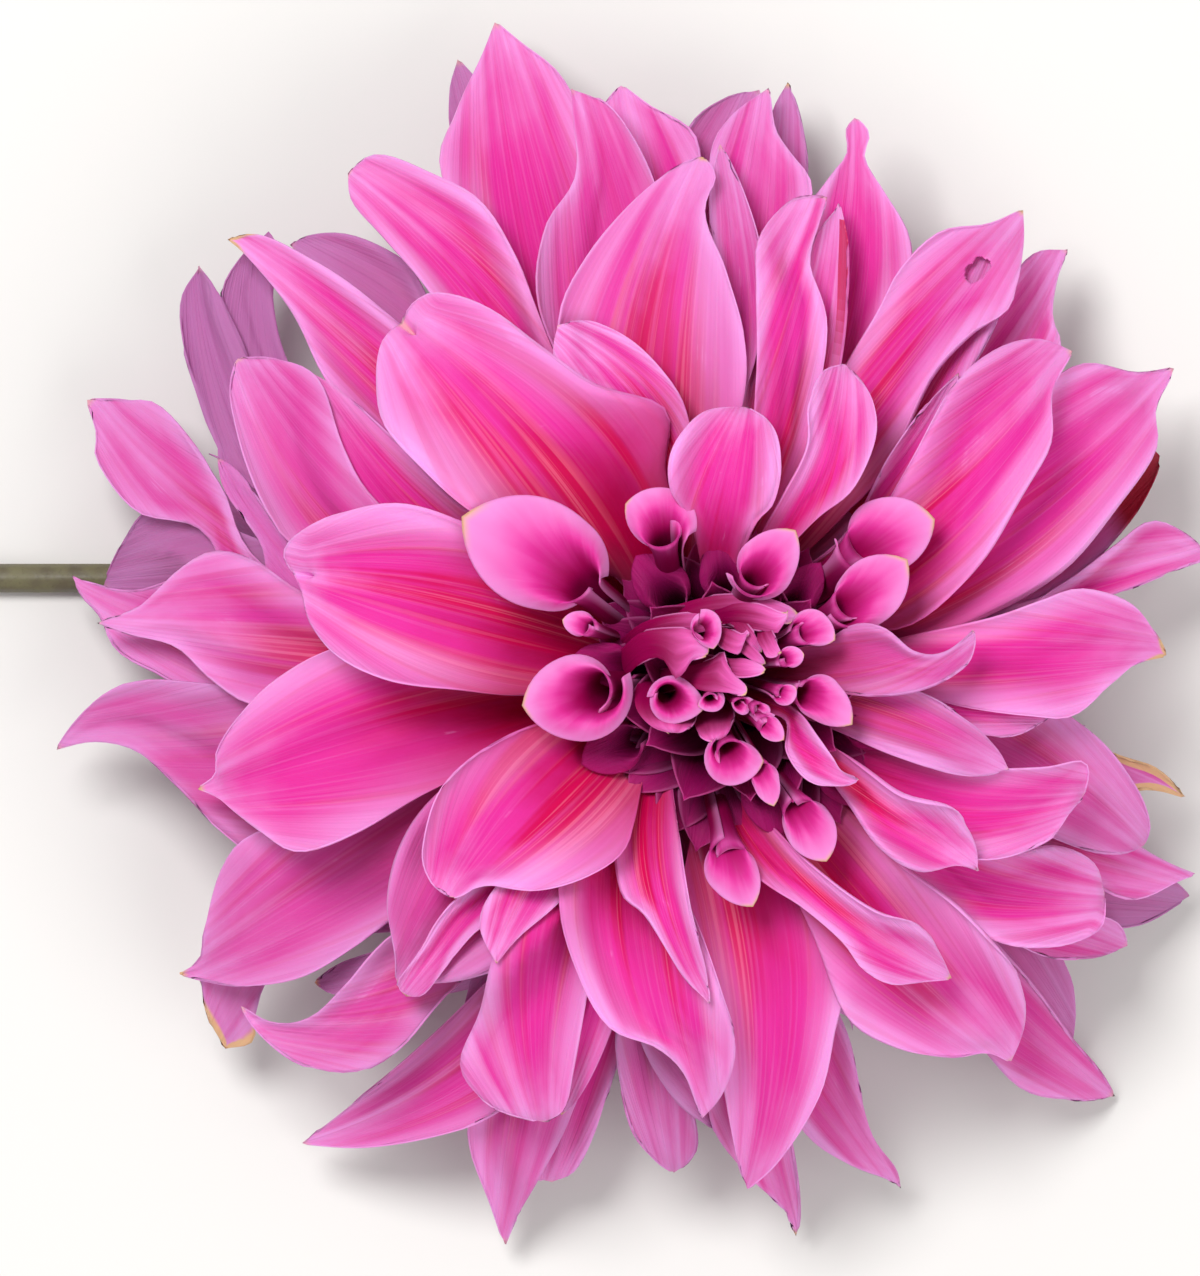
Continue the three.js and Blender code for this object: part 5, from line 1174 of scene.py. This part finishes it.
def green_finish(name, base, other, scale):
    """Green or brown flesh with mottling and small dark specks, in the piece's own coordinates."""
    s = Shader(name)
    place = s.node("ShaderNodeTexCoord").outputs["Object"]
    mottle = s.noise(place, scale, 5.0, 0.6)
    speck = s.noise(place, scale * 9, 2.0)
    body = s.mix(s.step(mottle, 0.35, 0.65), base, linear(other))
    body = s.mix(s.step(speck, 0.58, 0.75, 0.0, 0.35), body, tuple(c * 0.5 for c in base))
    s.bump(s.plus(mottle, s.times(speck, 0.4)), 0.35, 0.0004)
    return s.finish(
        body,
        s.step(mottle, 0.3, 0.7, 0.4, 0.58),
        Subsurface_Weight=0.1,
        Subsurface_Radius=(0.5, 0.7, 0.2),
        Subsurface_Scale=0.001,
    )


def back_petals():
    """Surfaces of the hidden petals at the back of the bloom."""
    for ring in BACK_RINGS:
        for k in range(ring["count"]):
            bearing = ring["turn"] + k * GOLDEN_ANGLE
            edge = Vector(BLOOM_CENTRE) + BLOOM_RADIUS * Vector((math.cos(bearing), math.sin(bearing)))
            tip = edge * (ring["reach"] + ring["spread"] * math.sin(2.4 * k))
            via = tip * BACK_MIDDLE
            root = layer_root(ring["layer"], math.atan2(via.y - HUB.y, via.x - HUB.x))
            via = (*via, middle_height(ring["layer"], via))
            tip = (*tip, tip_height(ring, tip))
            yield blade_surface(root, via, tip, ring["width"], *BACK_GRID)


def sheaths():
    """Surfaces of the upright petals round the centre."""
    for ring in SHEATHS:
        for k in range(ring["count"]):
            bearing = math.radians(ring["turn"] + k * SHEATH_STEP)
            out = SHEATH_UNEVEN * math.sin(2 * k)
            heading = Vector((math.cos(bearing), math.sin(bearing)))
            root, via, tip = (heading * (radius + out) for radius in ring["radii"])
            root, via = (*root, ring["foot"]), (*via, ring["middle"])
            tip = (*tip, crown(tip) - ring["tip_depth"])
            yield blade_surface(root, via, tip, ring["width"], *SHEATH_GRID, ring["cup"], SHEATH_CLAW)


def gap_rolls():
    """Surfaces of the small rolls in the gaps between the large ones."""
    for k, (degrees, out, layer) in enumerate(GAP_ROLLS):
        heading = np.array((math.cos(math.radians(degrees)), math.sin(math.radians(degrees))))
        roll = dict(
            mouth=heading * out,
            tip=heading * (out + GAP_ROLL_REACH),
            foot=heading * GAP_ROLL_FOOT,
            radius=GAP_ROLL_RADIUS + math.sin(k),
            layer=layer,
            sweep=(150, 160),
            spiral=0.2 * math.cos(2 * k),
        )
        yield funnel_surface(roll, *GAP_ROLL_GRID)


def group_of(petal):
    """The piece that a petal goes into, by its layer."""
    if petal["layer"] >= BACK_LAYER:
        return "petals_back"
    return "petals_middle" if petal["layer"] >= MIDDLE_LAYER else "petals_top"


class DAHLIA_OT_petals(bpy.types.Operator):
    """Lay the open petals from the lowest to the highest, in three groups"""

    bl_idname = "dahlia.petals"
    bl_label = "Petals"

    def execute(self, context):
        settings = context.scene.dahlia_petals
        materials = [
            petal_finish("petal face", settings, False),
            petal_finish("petal underside", settings, True),
        ]
        pile = np.full((PILE_SIDE, PILE_SIDE), -1.0)
        meshes = {name: bmesh.new() for name in ("petals_back", "petals_middle", "petals_top")}
        for k, points in enumerate(back_petals()):
            lay_on(pile, points)
            petal_mesh(meshes["petals_back"], points, seed=k, age=0.8, dry=0, dark=0, deep=0)
        for k, petal in enumerate(sorted(PETALS, key=lambda petal: -petal["layer"])):
            petal = {**PLAIN_PETAL, "dry": MOST_DRY * (k * GOLDEN_SHARE % 1), **petal}
            seed = PETAL_SEED * k
            points = petal_surface(petal, seed, *PETAL_GRID)
            lay_on(pile, points)
            looks = dict(age=petal["age"], dry=petal["dry"], dark=petal["dark_tip"], deep=0)
            petal_mesh(meshes[group_of(petal)], points, petal["hole"], seed=seed, **looks)
        # The upright petals and gap rolls take the painted shade of the gaps round the centre.
        for k, points in enumerate([*sheaths(), *gap_rolls()]):
            petal_mesh(meshes["petals_top"], points, seed=k, age=0, dry=0, dark=0, deep=1)
        for name, bm in meshes.items():
            piece = finished(bm, name, materials, settings.thickness)
            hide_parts("petals")
        return {"FINISHED"}


def lathe(bm, profile):
    """Spins a profile round the receptacle's leaning axis."""
    verts = [bm.verts.new((radius, 0, along)) for radius, along in profile]
    edges = [bm.edges.new(pair) for pair in zip(verts, verts[1:])]
    around = dict(cent=(0, 0, 0), axis=(0, 0, 1), angle=2 * math.pi, steps=LATHE_STEPS, use_merge=True)
    bmesh.ops.spin(bm, geom=verts + edges, **around)
    bmesh.ops.remove_doubles(bm, verts=bm.verts, dist=1e-3)
    bmesh.ops.transform(bm, matrix=LEAN.to_matrix().to_4x4(), verts=bm.verts)
    bmesh.ops.translate(bm, vec=HUB + EYE, verts=bm.verts)
    bmesh.ops.scale(bm, vec=(MM, MM, MM), verts=bm.verts)
    bmesh.ops.recalc_face_normals(bm, faces=bm.faces)


class DAHLIA_OT_receptacle(bpy.types.Operator):
    """Make the small core that the petals grow from"""

    bl_idname = "dahlia.receptacle"
    bl_label = "Receptacle"

    def execute(self, context):
        settings = context.scene.dahlia_petals
        bm = bmesh.new()
        lathe(bm, HUB_PROFILE)
        finish = green_finish("receptacle", tuple(settings.throat), *RECEPTACLE_MOTTLE)
        piece = finished(bm, "receptacle", [finish], 0)
        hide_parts("petals")
        return {"FINISHED"}


class DAHLIA_OT_centre(bpy.types.Operator):
    """Make the rolled petals round the centre, and the small florets of the centre"""

    bl_idname = "dahlia.centre"
    bl_label = "Centre florets"

    def execute(self, context):
        settings = context.scene.dahlia_centre
        petal_settings = context.scene.dahlia_petals
        materials = [
            floret_finish("floret inside", settings, petal_settings, False),
            floret_finish("floret outside", settings, petal_settings, True),
        ]
        large = [(funnel_surface(roll, *ROLLED_PETAL_GRID), 0) for roll in ROLLED_PETALS]
        small = [(funnel_surface(roll, *ROLLED_FLORET_GRID), 0) for roll in ROLLED_FLORETS]
        for k, leaflet in enumerate(LEAFLETS):
            leaflet = {**PLAIN_LEAFLET, **leaflet}
            small.append((petal_surface(leaflet, FLORET_SEED * k, *LEAFLET_GRID), 1))
        pieces = (
            ("rolled_petals", "petals", "petal", large),
            ("centre_florets_fine", "centre_florets", "centre", small),
        )
        for name, node, slot, surfaces in pieces:
            bm = bmesh.new()
            for k, (points, frayed) in enumerate(surfaces):
                petal_mesh(bm, points, seed=FLORET_SEED * k, frayed=frayed)
            piece = finished(bm, name, materials, settings.thickness)
            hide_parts(node)
        return {"FINISHED"}


class DAHLIA_OT_calyx(bpy.types.Operator):
    """Make the green underside of the bloom, with its bracts"""

    bl_idname = "dahlia.calyx"
    bl_label = "Calyx"

    def execute(self, context):
        settings = context.scene.dahlia_green
        flesh = green_finish("bract", tuple(settings.bract), *CALYX_MOTTLE)
        bm = bmesh.new()
        lathe(bm, CALYX_PROFILE)
        cup = finished(bm, "calyx_cup", [flesh], 0)
        bm = bmesh.new()
        for ring in BRACT_RINGS:
            start, end, reach = ring["start"], ring["end"], ring["reach"]
            for k in range(ring["count"]):
                bearing = math.radians(ring["first"] + ring["turn"] * k)
                root = on_hub(bearing, BRACT_ROOT, start - BRACT_SINK)
                middle = (start + end) / 2 + BRACT_ARCH
                via = on_hub(bearing, BRACT_ROOT + reach * BRACT_MIDDLE, middle)
                tip = on_hub(bearing, BRACT_ROOT + reach, end)
                points = blade_surface(root, via, tip, ring["width"], *BRACT_GRID, claw=BRACT_CLAW)
                petal_mesh(bm, points, seed=k)
        bracts = finished(bm, "bracts", [flesh], BRACT_THICKNESS)
        for piece in (cup, bracts):
            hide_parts("calyx")
        return {"FINISHED"}


def stem_tube(bm, radius):
    """A closed tube along the stem's midline, from a grid whose long edges are merged."""
    steps, sides = STEM_GRID
    knots = np.array(STEM_PATH, float)
    at = np.linspace(0, len(knots) - 1, steps + 1)
    before = np.minimum(at.astype(int), len(knots) - 2)
    middle = spline(knots, before, (at - before)[:, None])
    along = unit(np.gradient(middle, axis=0))
    side = unit(np.cross((0, 0, 1), along))
    up = np.cross(along, side)
    for vert in bmesh.ops.create_grid(bm, x_segments=steps, y_segments=sides, size=0.5)["verts"]:
        i = round((vert.co.x + 0.5) * steps)
        turn = (vert.co.y + 0.5) * 2 * math.pi
        reach = radius * (1 + STEM_RIB_DEPTH * math.cos(STEM_RIBS * turn))
        place = middle[i] + side[i] * math.cos(turn) * reach + up[i] * math.sin(turn) * reach
        vert.co = (Vector(place) + EYE) * MM
    bmesh.ops.remove_doubles(bm, verts=bm.verts, dist=1e-6)
    bmesh.ops.holes_fill(bm, edges=[edge for edge in bm.edges if edge.is_boundary], sides=0)
    bmesh.ops.recalc_face_normals(bm, faces=bm.faces)


class DAHLIA_OT_stem(bpy.types.Operator):
    """Make the stem, from its cut end up into the calyx"""

    bl_idname = "dahlia.stem"
    bl_label = "Stem"

    def execute(self, context):
        settings = context.scene.dahlia_green
        bm = bmesh.new()
        stem_tube(bm, settings.stem_radius / MM)
        finish = green_finish("stem", tuple(settings.stem), *STEM_MOTTLE)
        piece = finished(bm, "stem_fine", [finish], 0)
        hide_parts("stem")
        return {"FINISHED"}


def soft_light(name, place, size, power):
    """A round area light that looks at the bloom."""
    light = bpy.data.lights.new(name, "AREA")
    light.shape = "DISK"
    light.size = size
    light.energy = power
    lamp = bpy.data.objects.new(name, light)
    lamp.location = place
    aim = (EYE + LIT_PLACE) * MM
    lamp.rotation_euler = (aim - Vector(place)).to_track_quat("-Z", "Y").to_euler()
    bpy.context.scene.collection.objects.link(lamp)


class DAHLIA_OT_stage(bpy.types.Operator):
    """Lay the floor, and set the light and the camera"""

    bl_idname = "dahlia.stage"
    bl_label = "Stage"

    def execute(self, context):
        settings = context.scene.dahlia_stage
        bm = bmesh.new()
        bmesh.ops.create_grid(bm, x_segments=1, y_segments=1, size=FLOOR_SIZE)
        mesh = bpy.data.meshes.new("floor")
        bm.to_mesh(mesh)
        bm.free()
        floor = bpy.data.objects.new("floor", mesh)
        mesh.materials.append(Shader("floor").finish(tuple(settings.floor), 0.8))
        context.scene.collection.objects.link(floor)
        for light in LIGHTS:
            soft_light(**light)
        world = bpy.data.worlds.new("studio")
        world.use_nodes = True
        world.node_tree.nodes["Background"].inputs["Color"].default_value = (1, 1, 1, 1)
        world.node_tree.nodes["Background"].inputs["Strength"].default_value = ROOM_LIGHT
        context.scene.world = world
        context.scene.view_settings.view_transform = "Standard"
        camera = bpy.data.cameras.new("camera")
        camera.lens = LENS
        viewer = bpy.data.objects.new("camera", camera)
        seen = (EYE + SEEN_PLACE) * MM
        viewer.location = (seen.x, seen.y, settings.camera_height)
        context.scene.collection.objects.link(viewer)
        context.scene.camera = viewer
        return {"FINISHED"}


class DAHLIA_PT_panel(bpy.types.Panel):
    """Lists the pieces of the dahlia"""

    bl_idname = "DAHLIA_PT_panel"
    bl_label = "Dahlia"
    bl_space_type = "VIEW_3D"
    bl_region_type = "UI"
    bl_category = "Dahlia"

    def draw(self, context):
        for group in SETTINGS:
            box = self.layout.box()
            values = getattr(context.scene, group)
            for name in values.bl_rna.properties.keys():
                if name not in ("rna_type", "name"):
                    box.prop(values, name)
        for operator in OPERATORS:
            self.layout.operator(operator.bl_idname)


SETTINGS = {
    "dahlia_petals": DahliaPetalSettings,
    "dahlia_centre": DahliaCentreSettings,
    "dahlia_green": DahliaGreenSettings,
    "dahlia_stage": DahliaStageSettings,
}
OPERATORS = (
    DAHLIA_OT_petals,
    DAHLIA_OT_receptacle,
    DAHLIA_OT_centre,
    DAHLIA_OT_calyx,
    DAHLIA_OT_stem,
    DAHLIA_OT_stage,
)


def register():
    for kind in (*SETTINGS.values(), *OPERATORS, DAHLIA_PT_panel):
        bpy.utils.register_class(kind)
    for name, kind in SETTINGS.items():
        setattr(bpy.types.Scene, name, bpy.props.PointerProperty(type=kind))


def unregister():
    for name in SETTINGS:
        delattr(bpy.types.Scene, name)
    for kind in (DAHLIA_PT_panel, *reversed(OPERATORS), *SETTINGS.values()):
        bpy.utils.unregister_class(kind)


def main():
    register()
    bpy.ops.dahlia.petals()
    bpy.ops.dahlia.receptacle()
    bpy.ops.dahlia.centre()
    bpy.ops.dahlia.calyx()
    bpy.ops.dahlia.stem()
    bpy.ops.dahlia.stage()


if __name__ == "__main__":
    main()
